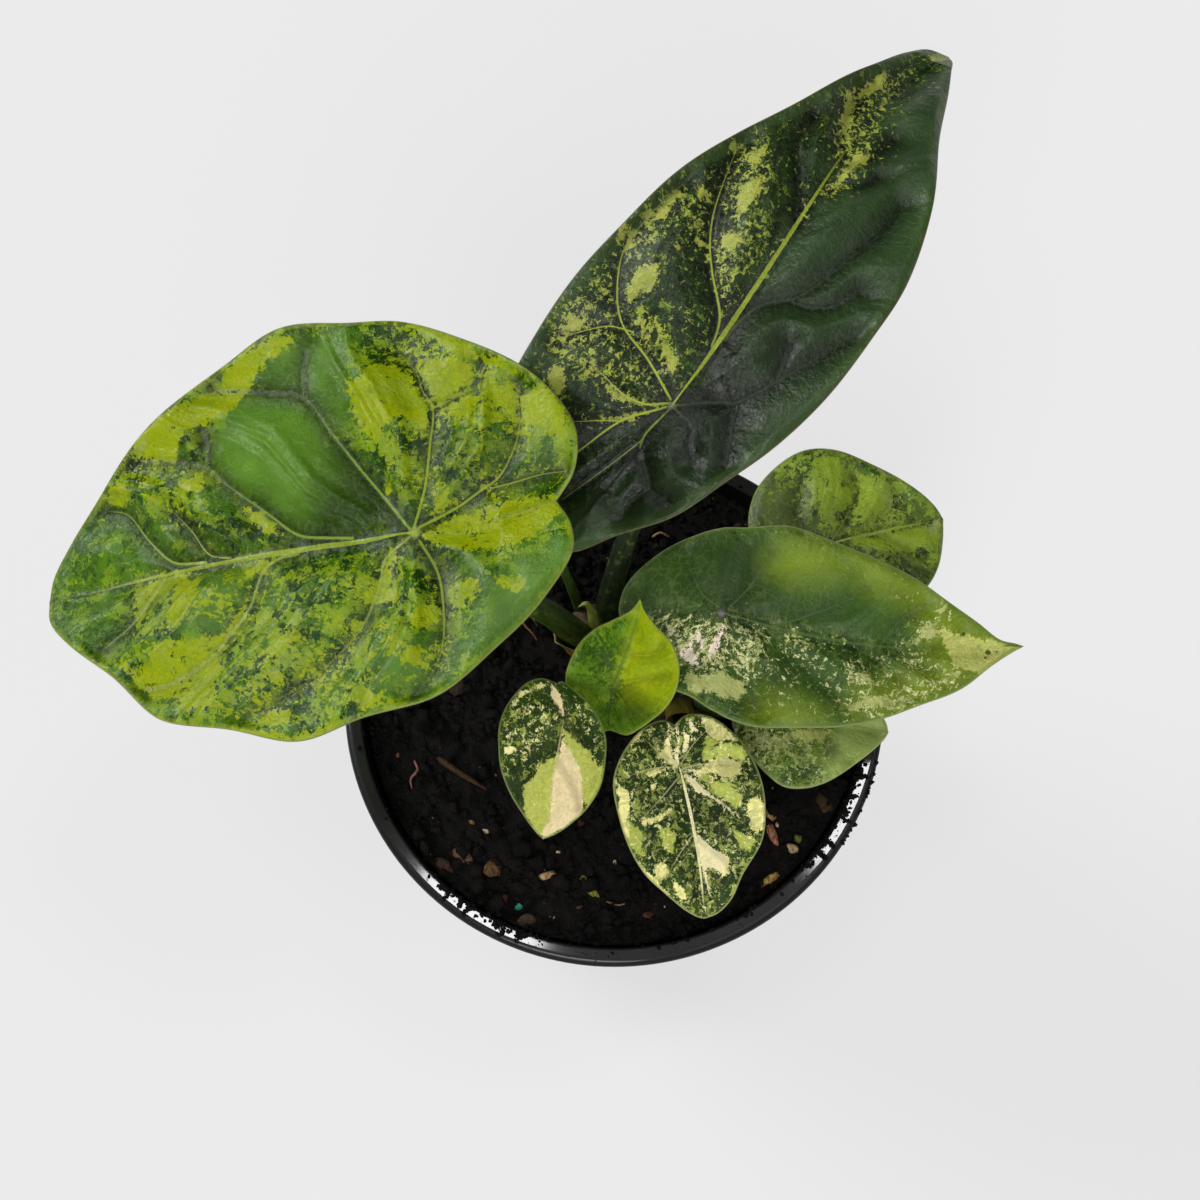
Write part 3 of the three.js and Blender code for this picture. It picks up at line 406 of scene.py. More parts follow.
            [(22.5, 1), (24.5, 0.5), (29, 0.5), (25.5, 0.5)],
        ],
        glow=[
            [(46, 12), (56, 8), (74, 0), (60, -8), (50, -6), (48, 2)],
            [(11.5, 14), (15, 19), (23, 20), (27.5, 17), (22, 14.5), (15, 12.5)],
            [(27.5, 20.5), (34, 19), (47, 13.5), (54.5, 8.5), (50.5, 9), (39.5, 12.5), (32.5, 15)],
            [(10, -22), (12, -19), (17.5, -18), (22, -20), (16.5, -22.5)],
            [(33, -12), (46, -6), (55.5, -3), (55.5, -8.5), (42.5, -16), (32, -17)],
        ],
        broken=[
            (0.16, [(-15, 1), (0, -2), (8, -4), (8, -14), (-3, -15), (-9, -11)]),
            (0.14, [(42, 6), (52, 8), (56, 4), (46, 1)]),
            (0.2, [(28, -17), (30, -13), (40, -9), (54, -5), (56, -8), (42, -16)]),
        ],
        plain=[
            [(-4, 4), (10, 2), (40, 1), (44, 8), (30, 16), (10, 20), (-20, 16), (-20, 3)],
            [(14, -4), (26, -3), (28, -10), (24, -19), (14, -20), (10, -12)],
        ],
        deep=[[(-3, 3), (1, 3), (9, -1), (3, -5), (-3, -1)]],
        cream=[[(-14, -3), (8, -3), (4, -13), (-14, -14)]],
        dense=[
            [(-15.5, 2), (0, -1), (9.5, -1), (11, -9), (8.5, -15.5), (-3.5, -15), (-9, -11)],
            [(13, 0), (20.5, -0.5), (24.5, -5.5), (17, -6)],
            [(27.5, -5), (34.5, -5.5), (38, -10), (34.5, -13.5), (28.5, -12)],
            [(43.5, 5.5), (51, 7.5), (52.5, 2.5), (45, 1)],
            [(28, -14.5), (38, -11), (48.5, -6.5), (55.5, -5), (54.5, -8.5), (42.5, -16), (29, -18.5)],
            [(41, -0.5), (47.5, -0.5), (48.5, -6.5), (42.5, -5.5)],
        ],
        dusted=[[(6, -2), (50, -1), (60, -6), (40, -16), (12, -20)]]
    ),
    "round_back_right": dict(
        broken=[
            (0.42, [(-6, 20), (4, 23), (14, 18), (22, 10), (22, 2), (8, 1), (0, 3), (-2, 10)]),
            (0.36, [(4, -1), (30, -1), (27, -7), (18, -12), (8, -10)]),
        ],
        pale=[
            [(3.5, 20.5), (5.5, 21.5), (9.5, 19.5), (9, 14.5), (6.5, 14), (3.5, 15.5)],
            [(2, 15.5), (7, 14.5), (11.5, 11), (7.5, 6.5), (3.5, 6), (4, 3.5), (1.5, 2.5), (0.5, 7)],
            [(-4.5, 20), (-2, 20.5), (-1, 19), (-2.5, 18), (-4, 18.5)],
            [(13, 15), (16.5, 11.5), (17.5, 6.5), (14, 3.5), (9.5, 2), (6.5, 4), (10, 8)],
            [(5, 0), (12.5, 0), (23, -0.5), (30, -0.5), (27.5, -5.5), (21, -7), (14.5, -7), (8.5, -3.5)],
        ],
        plain=[
            [(-13.5, 14.5), (-7.5, 18.5), (-4.5, 16), (-4, 8.5), (-6.5, 7), (-15, 10.5)],
            [(-16, 4), (-10, -6), (-2, -3), (-4, 6)],
        ],
        deep=[
            [(11, -4), (17, -7.5), (20, -13), (17, -14), (11.5, -8.5)],
            [(7, 9), (10.5, 9), (9, 4.5), (6.5, 4)],
        ],
        cream=[[(21, 9.5), (32, 2), (32, -4), (27, -3), (18, 4), (16, 10.5)]],
        dense=[[(10, 10.5), (17, 11), (21, 6), (19, 0.5), (10.5, -0.5), (6, 2)]],
        dusted=[[(-20, -20), (40, -20), (40, 30), (-20, 30)]]
    ),
    "young_centre": dict(
        pale=[
            [(20.5, 0), (17.5, -4), (15.5, -9), (10, -13), (4, -16), (1.5, -15), (1.5, -12), (2.5, -5),
             (-0.5, -1.5), (4, 0.2), (9, -0.2), (14, -0.6)],
            [(5, 6.5), (5.5, 3.5), (4.5, 3.5), (4, 6)],
        ],
        plain=[[(2, -0.2), (-2, -4), (0, -12), (2, -18), (20, -16), (24, 0)]],
        deep=[
            (1, [(0, 0), (1.5, -6), (1, -11), (-4, -12), (-9, -5), (-10, -0.5)]),
            (0.5, [(7, 8.5), (9.5, 4), (2, 1), (-2, 5.5)]),
        ]
    ),
    "small_front_left": dict(
        pale=[
            [(0.5, 0), (4.5, 1.5), (9.5, 6), (16.5, 8), (20, 8), (24, 4), (27, 0), (25.5, -1), (22.5, 0.5),
             (18, 0), (13, -0.5), (8, 0), (3.5, 0)],
            [(-8.5, -1.6), (-5.5, -0.2), (-1.5, 0.6), (0.5, 0.3), (0, -1), (-2.5, -2), (-5, -3)],
            [(8, -12.5), (7.5, -10), (8, -8), (10, -10), (10, -12)],
            [(9.5, -7.5), (7, -5.5), (7, -4), (9.5, -6)],
            [(0.5, -13), (-4.5, -10.5), (-5.5, -7.5), (-7.5, -4.5), (-7, -2), (-5, -6), (-3.5, -9),
             (-1, -11)],
        ],
        lime=[
            [(7, 1.5), (9.5, -2.5), (13.5, -4.5), (17, -6), (22, -4.5), (25.5, -2.5), (27, 1.5), (22.5, 3),
             (14.5, 2)],
            [(2.5, 0.5), (6, 6.5), (9.5, 11), (12.5, 11.5), (18, 9.5), (15, 5), (8.5, 2)],
        ],
        deep=[
            [(10, -6.5), (7, -3.5), (2, -0.5), (6.5, -0.5), (9.5, -3), (12, -4.5)],
            [(-0.5, 0), (1.5, 4), (4.5, 7.5), (4.5, 4.5), (2, 1.5)],
            [(11.5, -8), (10, -6), (16.5, -6), (17, -7.5)],
        ],
        cream=[
            [(0, 0), (7, 3.2), (14, 8.5), (19, 10.5), (24, 6.5), (30, 0), (24, -3.5), (16, -2), (7, -0.8)],
            [(-9, -2), (-5, 0.5), (0, 1), (0.5, -1.5), (-5, -3.5)],
        ],
        broken=[
            (0.03, [(-6, 1), (-3, 6), (3, 10), (10, 11), (5, 5), (0, 1)]),
            (0.02, [(-6, -3), (-5, -9), (3, -13), (12, -11), (14, -6), (6, -2), (-1, -2)]),
        ],
        dense=[
            [(-6.5, 1.5), (-4.5, 6), (2.5, 9.5), (8.5, 11), (5, 5.5), (0.5, 1)],
            [(-1.5, -14), (-6, -3.5), (-0.5, -1), (8.5, -2.5), (14, -7.5), (10.5, -12)],
        ],
        dusted=[[(-20, -20), (40, -20), (40, 20), (-20, 20)]]
    ),
    "small_front": dict(
        pale=[
            [(-12, -2), (-12, -0.5), (-6.5, -1), (-2, -1), (-1, -2), (-3, -4.5), (-3.5, -5.5), (-5.5, -3),
             (-8, -2)],
            [(-12.5, 0.5), (-8.5, 1), (-4.5, 1), (0, 0), (-0.5, -1), (-6.5, 0)],
            [(-8.5, 2), (-7, 3.5), (-4.5, 3), (-2, 1), (-1, 0.5), (-4.5, 1.5)],
            [(-11, 6.5), (-10, 9), (-7, 12), (-4, 14), (-4, 12), (-4.5, 9), (-7, 7)],
            [(-11, 3.5), (-9, 5), (-7, 5.5), (-8, 4)],
            [(0.5, 1), (0.5, 4), (-1, 8), (-0.5, 12), (1, 14.5), (4.5, 14), (4.5, 11), (3.5, 8.5), (2, 7),
             (2.5, 4), (1, 2)],
            [(1, 0.5), (2.5, 2.5), (5, 4.5), (8.5, 7.5), (10.5, 9.5), (13.5, 10), (11.5, 8.5), (9, 6),
             (6.5, 2.5), (3.5, 1)],
            [(9.5, 13), (9, 16), (12.5, 17), (16.5, 15.5), (17.5, 13.5), (14, 12.5)],
            [(14.5, -0.5), (15.5, 1), (19, 4), (22, 7), (25, 6.5), (26, 5), (23.5, 3), (24, 1.5), (29, 2),
             (33.5, 1.5), (29, 1), (23, 0), (18, -0.5)],
            [(0, -8.5), (-1, -6), (-0.5, -0.5), (0, -3.5), (1, -7.5)],
            [(2, -8), (2, -6), (4, -6.5), (4.5, -8)],
            [(1.5, -15), (3.5, -13), (6.5, -13), (9.5, -15), (14, -15), (11.5, -16.5), (7, -16.5)],
            [(10, -12), (9.5, -8.5), (8.5, -4.5), (9, -3.5), (11, -6.5), (11.5, -9.5), (11, -11.5)],
            [(20, -11), (20, -8), (23, -7), (24, -9.5), (22.5, -11)],
            [(24.5, -7), (26, -4.5), (29.5, -3.5), (29.5, -5.5), (26.5, -6.5)],
            [(16.5, -15), (22.5, -11.5), (28.5, -7.5), (26.5, -10), (21.5, -14)],
            [(-9.5, -11), (-10, -7.5), (-7.5, -8.5), (-6.5, -11)],
        ],
        lime=[
            [(-3, 6.5), (-4, 12), (-2, 15), (1, 15), (-0.5, 12), (-1, 8), (-0.5, 5.5)],
            [(3.5, 5), (5, 10.5), (8, 12), (11.5, 12), (10, 9), (7, 6)],
            [(9.5, -15.5), (13, -12.5), (17.5, -13), (15, -15.5)],
            [(13.5, -8.5), (12.5, -6), (15.5, -4.5), (18, -6), (17, -8)],
            [(16.5, 9.5), (17.5, 13.5), (20.5, 12), (20, 9.5)],
            [(-6.5, 7), (-4, 10), (-3, 6.5)],
        ],
        broken=[
            (0.33, [(-12, 2), (-10, 9), (-4, 14), (6, 17), (16, 16), (21, 12), (18, 6), (10, 6), (4, 3),
              (0, 1)]),
            (0.31, [(-10, -4), (-6, -13), (3, -16), (14, -16), (22, -13), (31, -6), (28, -2), (16, -5),
              (8, -6), (0, -8)]),
            (0.31, [(18, 3), (28, 6), (33, 3), (34, -2), (28, -2), (20, -1)]),
        ],
        deep=[
            [(5, 0.5), (6.5, 3), (9.5, 6), (13.5, 9), (16, 10.5), (17.5, 6.5), (15, 2.5), (13.5, -0.5),
             (9.5, -0.5)],
            [(-10.5, -7), (-11.5, -2.5), (-6.5, -2.5), (-3.5, -5.5), (-4.5, -8)],
            [(-2, 2.5), (-5, 5), (-5, 6.5), (-1.5, 5.5), (-1, 3)],
            [(0.5, -12), (1.5, -8.5), (6, -7.5), (5.5, -5), (2, -1), (5, -1), (8, -5.5), (8.5, -9.5),
             (5.5, -12)],
            [(1, 13.5), (2, 16), (6.5, 16), (9.5, 13), (6, 12.5)],
            [(11.5, -4.5), (9.5, -0.5), (15.5, -0.5), (22.5, 0), (29.5, 0.5), (31, -2), (26, -3.5),
             (20.5, -4.5), (15.5, -5.5)],
            [(12, -12.5), (12, -9), (17, -9.5), (19, -11.5), (15.5, -13)],
            [(24, 1), (26.5, 4), (28.5, 3.5), (27, 1)],
        ],
        cream=[
            [(-12, -3), (-12, 8), (-2, 2), (10, 8), (14, 12), (14, 8), (34, 3), (35, -1), (14, -1),
             (0, -1)],
        ],
        dusted=[[(-20, -20), (40, -20), (40, 20), (-20, 20)]]
    ),
    "low_right": dict(
        broken=[(0.3, [(-8, -5), (1, -4), (1, -14), (-3, -11), (-7, -8)])],
        pale=[[(4, -4), (13, -2), (12, -6), (5, -6)]],
        plain=[[(14, -14), (28, -4), (28, 6), (14, 12)]],
        dense=[[(-8, -5), (1, -4), (1, -14), (-3, -11), (-7, -8)]]
    ),
    "hidden_left": {},
}

# Colours of each blade, as 0 to 255 values
PAINT = {
    "broad_left": dict(
        dark=(20, 52, 2), mid=(60, 97, 10), light=(116, 141, 20), plain=(72, 108, 28), lime=(140, 158, 40),
        pale=(133, 147, 3), vein=(134, 154, 36), rim=(138, 144, 62), band=(140, 156, 50),
        heart=(150, 165, 70), fleck=(150, 164, 40)),
    "tall_back": dict(
        dark=(20, 34, 12), mid=(34, 54, 20), light=(104, 124, 40), plain=(40, 60, 30), lime=(140, 150, 70),
        pale=(150, 156, 66), vein=(142, 156, 48), rim=(84, 72, 44), band=(70, 92, 46),
        heart=(110, 112, 84), fleck=(150, 158, 66)),
    "pointed_right": dict(
        dark=(30, 52, 16), mid=(60, 88, 30), light=(120, 136, 70), plain=(60, 90, 32),
        lime=(204, 206, 116), pale=(184, 190, 116), cream=(255, 236, 216), vein=(88, 112, 48),
        glow=(130, 152, 28), rim=(140, 152, 88), band=(96, 124, 44), heart=(132, 112, 128),
        fleck=(224, 222, 160)),
    "round_back_right": dict(
        dark=(40, 60, 18), mid=(74, 96, 30), light=(118, 140, 40), plain=(78, 92, 46), lime=(130, 140, 60),
        pale=(124, 146, 36), cream=(134, 142, 84), vein=(134, 152, 56), rim=(124, 134, 72),
        band=(100, 118, 44), heart=(130, 140, 60), fleck=(140, 156, 56)),
    "young_centre": dict(
        dark=(52, 88, 4), mid=(90, 129, 8), light=(128, 158, 24), plain=(156, 173, 16),
        lime=(130, 150, 24), pale=(158, 174, 14), vein=(112, 136, 30), rim=(150, 158, 58),
        band=(116, 138, 28), fleck=(130, 156, 40)),
    "small_front_left": dict(
        dark=(30, 54, 8), mid=(48, 74, 16), light=(160, 172, 70), plain=(84, 100, 46), lime=(200, 206, 96),
        pale=(250, 242, 170), cream=(246, 226, 174), vein=(210, 196, 150), rim=(140, 150, 80),
        band=(80, 100, 40), fleck=(244, 240, 170)),
    "small_front": dict(
        dark=(30, 54, 10), mid=(46, 72, 20), light=(168, 182, 84), plain=(80, 96, 44), lime=(192, 202, 92),
        pale=(250, 242, 160), cream=(255, 244, 190), vein=(240, 234, 176), rim=(176, 180, 112),
        band=(120, 132, 60), fleck=(244, 240, 172)),
    "low_right": dict(
        dark=(44, 70, 16), mid=(98, 124, 46), light=(172, 182, 108), plain=(140, 160, 84),
        lime=(150, 160, 76), pale=(190, 196, 106), vein=(126, 142, 72), rim=(160, 168, 104),
        band=(130, 144, 70), heart=(120, 130, 70), fleck=(214, 216, 150)),
    "hidden_left": dict(
        dark=(48, 74, 20), mid=(72, 100, 34), light=(110, 130, 50), plain=(72, 100, 34),
        lime=(110, 130, 50), pale=(140, 156, 60), vein=(120, 140, 60), rim=(110, 122, 60),
        band=(96, 120, 44), heart=(110, 120, 60), fleck=(140, 156, 60)),
}

# How each blade's skin is drawn, where it differs from the usual. Of its cells: the noise levels at
# which they turn dark or light, the level for flecks, and how fine the cells are. Of its pale patches:
# how easily pale cells get loose beyond them (loose), how ragged their edges are at large (tear) and
# in grains (grit), and how little their shreds stretch along the veins (grain_run). Of its side veins:
# how far they show on the left and right (lines), their half width over the square root of the tip's
# distance (vein_width), and the number of the first one that is too faint to see (faint). Of its
# midrib: how far it shows, its half width, and where it ends as a share of the blade. The band along
# the edge has a width and a strength, and the painted shade on a vein's flanks (flank) has a reach and a
# brightness. Heart is the radius of the spot at the junction, net is the strength of the net, rough is
# the least and the most roughness, and specular is the strength of the shine.
USUAL_LOOK = dict(light=0.6, fleck=0.7, loose=-0.06, cell=1.4, vein_width=0.026, band=(1, 0.3), heart=0.8,
                  net=0.08, specular=0.15, tear=2, grain_run=0.6, grit=1, faint=9)
OWN_LOOK = {
    "broad_left": dict(
        dark=0.48, light=0.55, loose=-0.04, cell=1.0, lines=(0.6, 0.75), vein_width=0.034, rib=0.8,
        rib_width=0.44, rib_end=0.97, band=(1.4, 0.22), flank=(5, 0.46), heart=1.2, net=0.1,
        rough=(0.18, 0.28), specular=0.22, grain_run=0.5),
    "tall_back": dict(
        dark=0.49, light=0.66, fleck=0.735, lines=(0.9, 0.3), rib=0.95, rib_width=0.34, rib_end=0.72,
        band=(3, 0.3), flank=(5.5, 0.36), net=0.05, rough=(0.2, 0.28), specular=0.24, tear=1.15,
        grain_run=0.9, grit=0.9, faint=3.5),
    "pointed_right": dict(
        dark=0.46, light=0.62, loose=-0.1, lines=(0.5, 0.45), vein_width=0.02, rib=0.55, rib_width=0.3,
        rib_end=0.9, band=(1.2, 0.4), flank=(2.2, 0.85), heart=0.85, net=0.34, rough=(0.26, 0.36),
        specular=0.2, tear=1, grain_run=0.9, grit=0.9),
    "round_back_right": dict(
        dark=0.48, light=0.55, lines=(0.5, 0.4), rib=0.9, rib_width=0.36, rib_end=0.97, band=(1.2, 0.3),
        flank=(2.6, 0.6), net=0.1, rough=(0.26, 0.36), specular=0.25),
    "young_centre": dict(
        dark=0.49, fleck=0.74, loose=-0.4, cell=1.1, lines=(0.2, 0.3), rib=0.3, rib_width=0.2, rib_end=0.9,
        flank=(1.4, 0.88), heart=0, net=0.12, rough=(0.28, 0.38), tear=1.2, grit=0.7),
    "small_front_left": dict(
        dark=0.5, fleck=0.775, loose=-0.14, cell=1.9, lines=(0.12, 0.08), rib=0.5, rib_width=0.25,
        rib_end=1, band=(0.7, 0.3), flank=(1.2, 0.85), heart=0, rough=(0.3, 0.44), tear=0.6, grain_run=0.7,
        grit=0.4),
    "small_front": dict(
        dark=0.52, loose=0, cell=1.9, lines=(0.35, 0.35), vein_width=0.03, rib=0.95, rib_width=0.36,
        rib_end=1, band=(0.7, 0.4), flank=(1.2, 0.85), heart=0, rough=(0.3, 0.44), tear=0.8, grit=0.55),
    "low_right": dict(
        dark=0.46, light=0.59, fleck=0.64, cell=1.6, lines=(0.4, 0.4), rib=0.4, rib_width=0.28,
        rib_end=0.95, flank=(1.6, 0.9), heart=0.6, net=0.14, rough=(0.28, 0.38), specular=0.25, tear=1.2,
        grain_run=0.7),
    "hidden_left": dict(
        dark=0.47, light=0.57, loose=-0.1, cell=1.3, lines=(0.4, 0.4), rib=0.6, rib_width=0.35,
        rib_end=0.95, flank=(1.6, 0.8), rough=(0.34, 0.46), specular=0.3),
}
LOOK = {name: {**USUAL_LOOK, **own} for name, own in OWN_LOOK.items()}

# Fine relief of each blade, where it differs from the usual: how far it swells between its veins on
# the left and right, how deep and how large its puckers are, the pleats along and the puffs across the
# spaces between veins, the sharp crease at a vein, and the size of the triangles
USUAL_RELIEF = dict(swell=(0.4, 0.4), pucker=0.2, pucker_size=4, pleat=0.06, puff=0.05, crease=0.12,
                    spacing=0.45)
OWN_RELIEF = {
    "broad_left": dict(
        swell=(1.9, 2.2), pucker=0.55, pucker_size=8, pleat=0.34, puff=0.16, crease=0.55, spacing=0.66),
    "tall_back": dict(
        swell=(1.5, 2.5), pucker=0.03, pucker_size=9, pleat=0.1, puff=0.06, crease=0.55, spacing=0.66),
    "pointed_right": dict(
        swell=(1.2, 1.2), pucker=0.35, pucker_size=6, pleat=0.1, puff=0.12, crease=0.2, spacing=0.6),
    "round_back_right": dict(
        swell=(1.1, 1.1), pucker=0.3, pucker_size=5, pleat=0.1, puff=0.12, crease=0.2, spacing=0.55),
    "young_centre": dict(swell=(0.35, 0.35)),
    "small_front_left": {},
    "small_front": dict(swell=(0.6, 0.6), pucker=0.25, pleat=0.08, puff=0.08, crease=0.14),
    "low_right": dict(spacing=0.5),
    "hidden_left": dict(pucker=0.15, crease=0.1, spacing=0.6),
}
RELIEF = {name: {**USUAL_RELIEF, **own} for name, own in OWN_RELIEF.items()}

# Small dark spots of dead tissue near the tip of one blade, with their radii, and their colour
SPOTS = {"pointed_right": [((57, 3.5), 0.45), ((63, -1), 0.7), ((62, -2.5), 0.4), ((65, -1), 0.3)]}
DEAD_TISSUE = (44, 36, 20)

# The two greens of a blade's underside
UNDERSIDE = [(96, 116, 70), (120, 138, 88)]

# Colours of the stalks' feet, with the usual one, and of their tops and blotches
STALK_FOOT = dict(broad_left=(52, 74, 14), tall_back=(30, 44, 18), small_front=(74, 96, 30))
PLAIN_FOOT = (60, 84, 24)
STALK_TOP = (96, 118, 42)
STALK_BLOTCH = (118, 128, 60)

# Sheaths: the leaf whose stalk each one wraps, its height, how far it slopes down to its sides, the
# way it faces and its reach to either side in degrees, its colours from the foot to the edge, and how
# far its spike stands up
SHEATHS = {
    "sheath_left": dict(
        wraps="broad_left", height=6.5, slant=2, facing=-120, spread=100, spike=3.5,
        colours=[(168, 98, 44), (112, 112, 40), (160, 146, 84)]),
    "sheath_right": dict(
        wraps="small_front", height=12, slant=3, facing=85, spread=115, spike=0,
        colours=[(110, 90, 34), (140, 134, 36), (150, 110, 50)]),
}

# Number of points along a stalk's line that a sheath follows
SHEATH_CUTS = 400

# Centre line of the new shoot
SHOOT = [(-2.4, 15.2, 101.6), (-4.6, 17.4, 106), (-5.6, 20, 111), (-7, 20.6, 113.2), (-8.6, 20, 112.4)]

# A stem's side as shares of its radius, and heights over its top
STEM_SIDE = [(0.5, -26), (0.9, -20.8), (1, -10.4), (0.97, -3), (0.93, -0.6), (0.82, 0.5), (0.6, 1.1),
             (0.3, 1.3)]

# The pot's lip, from outside to inside: how far in from the rim, and how far below the top
LIP_PROFILE = [(0, 1.9), (0.08, 1.4), (0.3, 0.95), (0.6, 0.62), (0.95, 0.4), (1.3, 0.27), (1.65, 0.19),
               (1.8, 0.175), (3.3, 0.045), (3.45, 0.03), (3.65, 0), (3.95, 0.2), (4.2, 0.7),
               (LIP_WIDTH, 1.4)]

# Where crumbs lie on the lip: radius and height of its top, clusters with the angle of their middle,
# their spread and number, and bars with the angle of their middle and their spread
LIP_TOP = [(60.5, 103), (60.8, 104.2), (61.2, 104.9), (61.6, 105), (63.2, 104.75), (64.15, 104.4),
           (65, 103.2)]
LIP_CLUSTERS = [(-121, 16, 80), (-26, 18, 80), (-70, 60, 60), (90, 120, 90)]
LIP_BARS = [(-129.2, 0.4), (-123.8, 0.45), (-115, 0.7), (-111.2, 0.5), (-18.4, 0.35), (-29, 0.08),
            (-35.4, 0.45), (-38.4, 0.5)]

# Lumps of soil keep inside this radius, clear of the pot's wall
CLEAR_RADIUS = 60.6

# Lights: name, azimuth, elevation, how wide it looks, and strength
LIGHTS = [
    ("lip_left", 170.7, 82.1, 9, 0.45),
    ("lip_right", 29.3, 73.4, 9.4, 0.45),
    ("window", 152, 30, 30, 2.3),
    ("key", -102, 44, 30, 1.75),
    ("right_fill", -30, 40, 60, 0.45),
]

# Strengths of the even light from all round and of the floor's own light
SKY_STRENGTH = 0.1
FLOOR_GLOW = 0.64

# The photo's view: where the camera is in metres, its tilt, its lens and its sensor
VIEW_PLACE = (-0.00345, -0.1469, 0.6641)
VIEW_TILT = 17
VIEW_LENS = 72
VIEW_SENSOR = 36

# Colours of the tiny flakes on the soil
FLAKE_COLOURS = [(74, 52, 34), (104, 78, 50), (60, 30, 22), (140, 116, 80), (52, 44, 24), (176, 160, 130)]

# Chips on the soil: place in the pot, length, width and height, heading, and colour
CHIPS = [
    ((-36, -38), (6, 3, 1.6), -35, (96, 70, 44)),
    ((-41, -40.5), (6, 3.4, 1.8), -30, (58, 40, 28)),
    ((-29, -41.2), (5, 4.4, 2), 5, (92, 66, 34)),
    ((-16, -43), (5, 1.8, 1.2), 15, (168, 140, 96)),
    ((-6, -45.6), (6.4, 2.6, 1.8), -52, (118, 116, 44)),
    ((-22.7, -50.2), (1.9, 1.5, 1), 20, (50, 150, 120)),
    ((-26.7, -49), (4, 3.2, 1.6), 80, (62, 26, 18)),
    ((-20.6, -53.7), (4.6, 3, 1.6), 10, (70, 52, 40)),
    ((37.3, -28.2), (3.2, 2.2, 1.4), -40, (150, 118, 76)),
    ((37.6, -32.8), (6.2, 2.4, 1.6), -68, (150, 98, 76)),
    ((44, -33.8), (2.6, 2, 1.2), -30, (92, 92, 44)),
    ((42.6, -36.4), (3.8, 2.2, 1.4), -30, (168, 146, 104)),
    ((37, -43.8), (5.6, 2, 1.4), 36, (150, 120, 62)),
    ((50.4, -25.4), (6.4, 3.4, 1.8), -62, (56, 38, 20)),
    ((-13.4, -37.2), (1.2, 0.9, 0.7), 0, (190, 170, 140)),
    ((-34, -30.1), (1.6, 1.1, 0.8), -30, (120, 92, 56)),
    ((-38, 3), (5, 3, 1.6), 50, (48, 34, 24)),
    ((30, 44), (5.5, 3, 1.8), 20, (60, 42, 28)),
    ((-20, 48), (4.6, 3.4, 1.8), -20, (78, 56, 36)),
    ((46, 12), (5, 2.6, 1.6), 70, (70, 50, 32)),
    ((8, -52), (3, 2, 1.2), 10, (74, 40, 30)),
    ((-8, -30), (2.4, 1.8, 1.1), 60, (60, 30, 22)),
]

# Twigs and roots on the soil: points with heights over the soil, radius, and colour
TWIGS = [
    ([(-42.5, -14.4, 0.6), (-37, -18.4, 1.2), (-30.6, -22.2, 0.8)], 0.85, (62, 44, 26)),
    ([(-48.2, -14.8, 0.6), (-47.3, -17.4, 1.5), (-48.9, -19.6, 1.1), (-48.6, -21.8, 0.4)], 0.35,
     (150, 98, 88)),
    ([(9.2, 41.4, 0.5), (11.4, 42.2, 1.3), (14.4, 41.4, 0.5)], 0.35, (176, 140, 96)),
    ([(-23, 20.6, 0.4), (-21.6, 18.4, 1.6), (-20.2, 17, 0.8), (-18.8, 15, 0.3)], 0.35, (124, 80, 58)),
    ([(-21.6, 22, 0.3), (-19.6, 20, 1.3), (-18.6, 18.4, 0.2)], 0.28, (110, 74, 52)),
    ([(-10, 12.6, 0.8), (-8.4, 9.4, 1.7), (-4.6, 8.4, 1.3), (-1, 9.6, 0.3)], 0.3, (176, 128, 96)),
    ([(-9, 11, 0.8), (-7, 7.4, 1.4), (-5.4, 5.8, 0.3)], 0.26, (150, 110, 80)),
    ([(27, -38.6, 0.3), (29, -40.6, 1), (29.6, -43.6, 0.3)], 0.25, (120, 92, 60)),
    ([(-2, -49, 0.2), (0.8, -49.8, 0.8), (3.6, -49.2, 0.2)], 0.22, (130, 110, 80)),
]


def linear(colour):
    """A 0 to 255 display colour as the linear values that a shader takes."""
    shares = np.array(colour, float) / 255
    values = np.where(shares <= 0.04045, shares / 12.92, ((shares + 0.055) / 1.055) ** 2.4)
    return (*[float(v) for v in values], 1.0)


def smoothstep(x, low, high):
    """0 at low, 1 at high and a smooth rise between them."""
    share = np.clip((x - low) / (high - low), 0, 1)
    return share * share * (3 - 2 * share)


def polar(radius, angle):
    """The x and y of a place at a radius and an angle."""
    return radius * math.cos(angle), radius * math.sin(angle)


# Curves and flat shapes

def run_along(line):
    """Distance from a line's first point to each of its points, along the line."""
    return np.concatenate([[0], np.cumsum(np.linalg.norm(np.diff(line, axis=0), axis=1))])


def even(line, count):
    """A line cut anew at equal steps into the given count of points."""
    length = run_along(line)
    places = np.linspace(0, length[-1], count)
    return np.stack([np.interp(places, length, line[:, a]) for a in range(line.shape[1])], 1)


def spline(points, step):
    """Centripetal curve through points, cut into equal steps of about the given length."""
    knots = np.array(points, float)
    padded = np.vstack([2 * knots[0] - knots[1], knots, 2 * knots[-1] - knots[-2]])
    u = np.linspace(0, 1, SPLINE_CUTS, endpoint=False)[:, None]
    pieces = []
    for k in range(len(knots) - 1):
        p0, p1, p2, p3 = padded[k:k + 4]
        d0, d1, d2 = [max(np.linalg.norm(b - a), 1e-4) ** 0.5 for a, b in ((p0, p1), (p1, p2), (p2, p3))]
        start = ((p1 - p0) / d0 - (p2 - p0) / (d0 + d1) + (p2 - p1) / d1) * d1
        end = ((p2 - p1) / d1 - (p3 - p1) / (d1 + d2) + (p3 - p2) / d2) * d1
        pieces.append(p1 + start * u + (3 * (p2 - p1) - 2 * start - end) * u ** 2
                      + (2 * (p1 - p2) + start + end) * u ** 3)
    fine = np.vstack([*pieces, knots[-1:]])
    return even(fine, max(2, round(run_along(fine)[-1] / step) + 1))


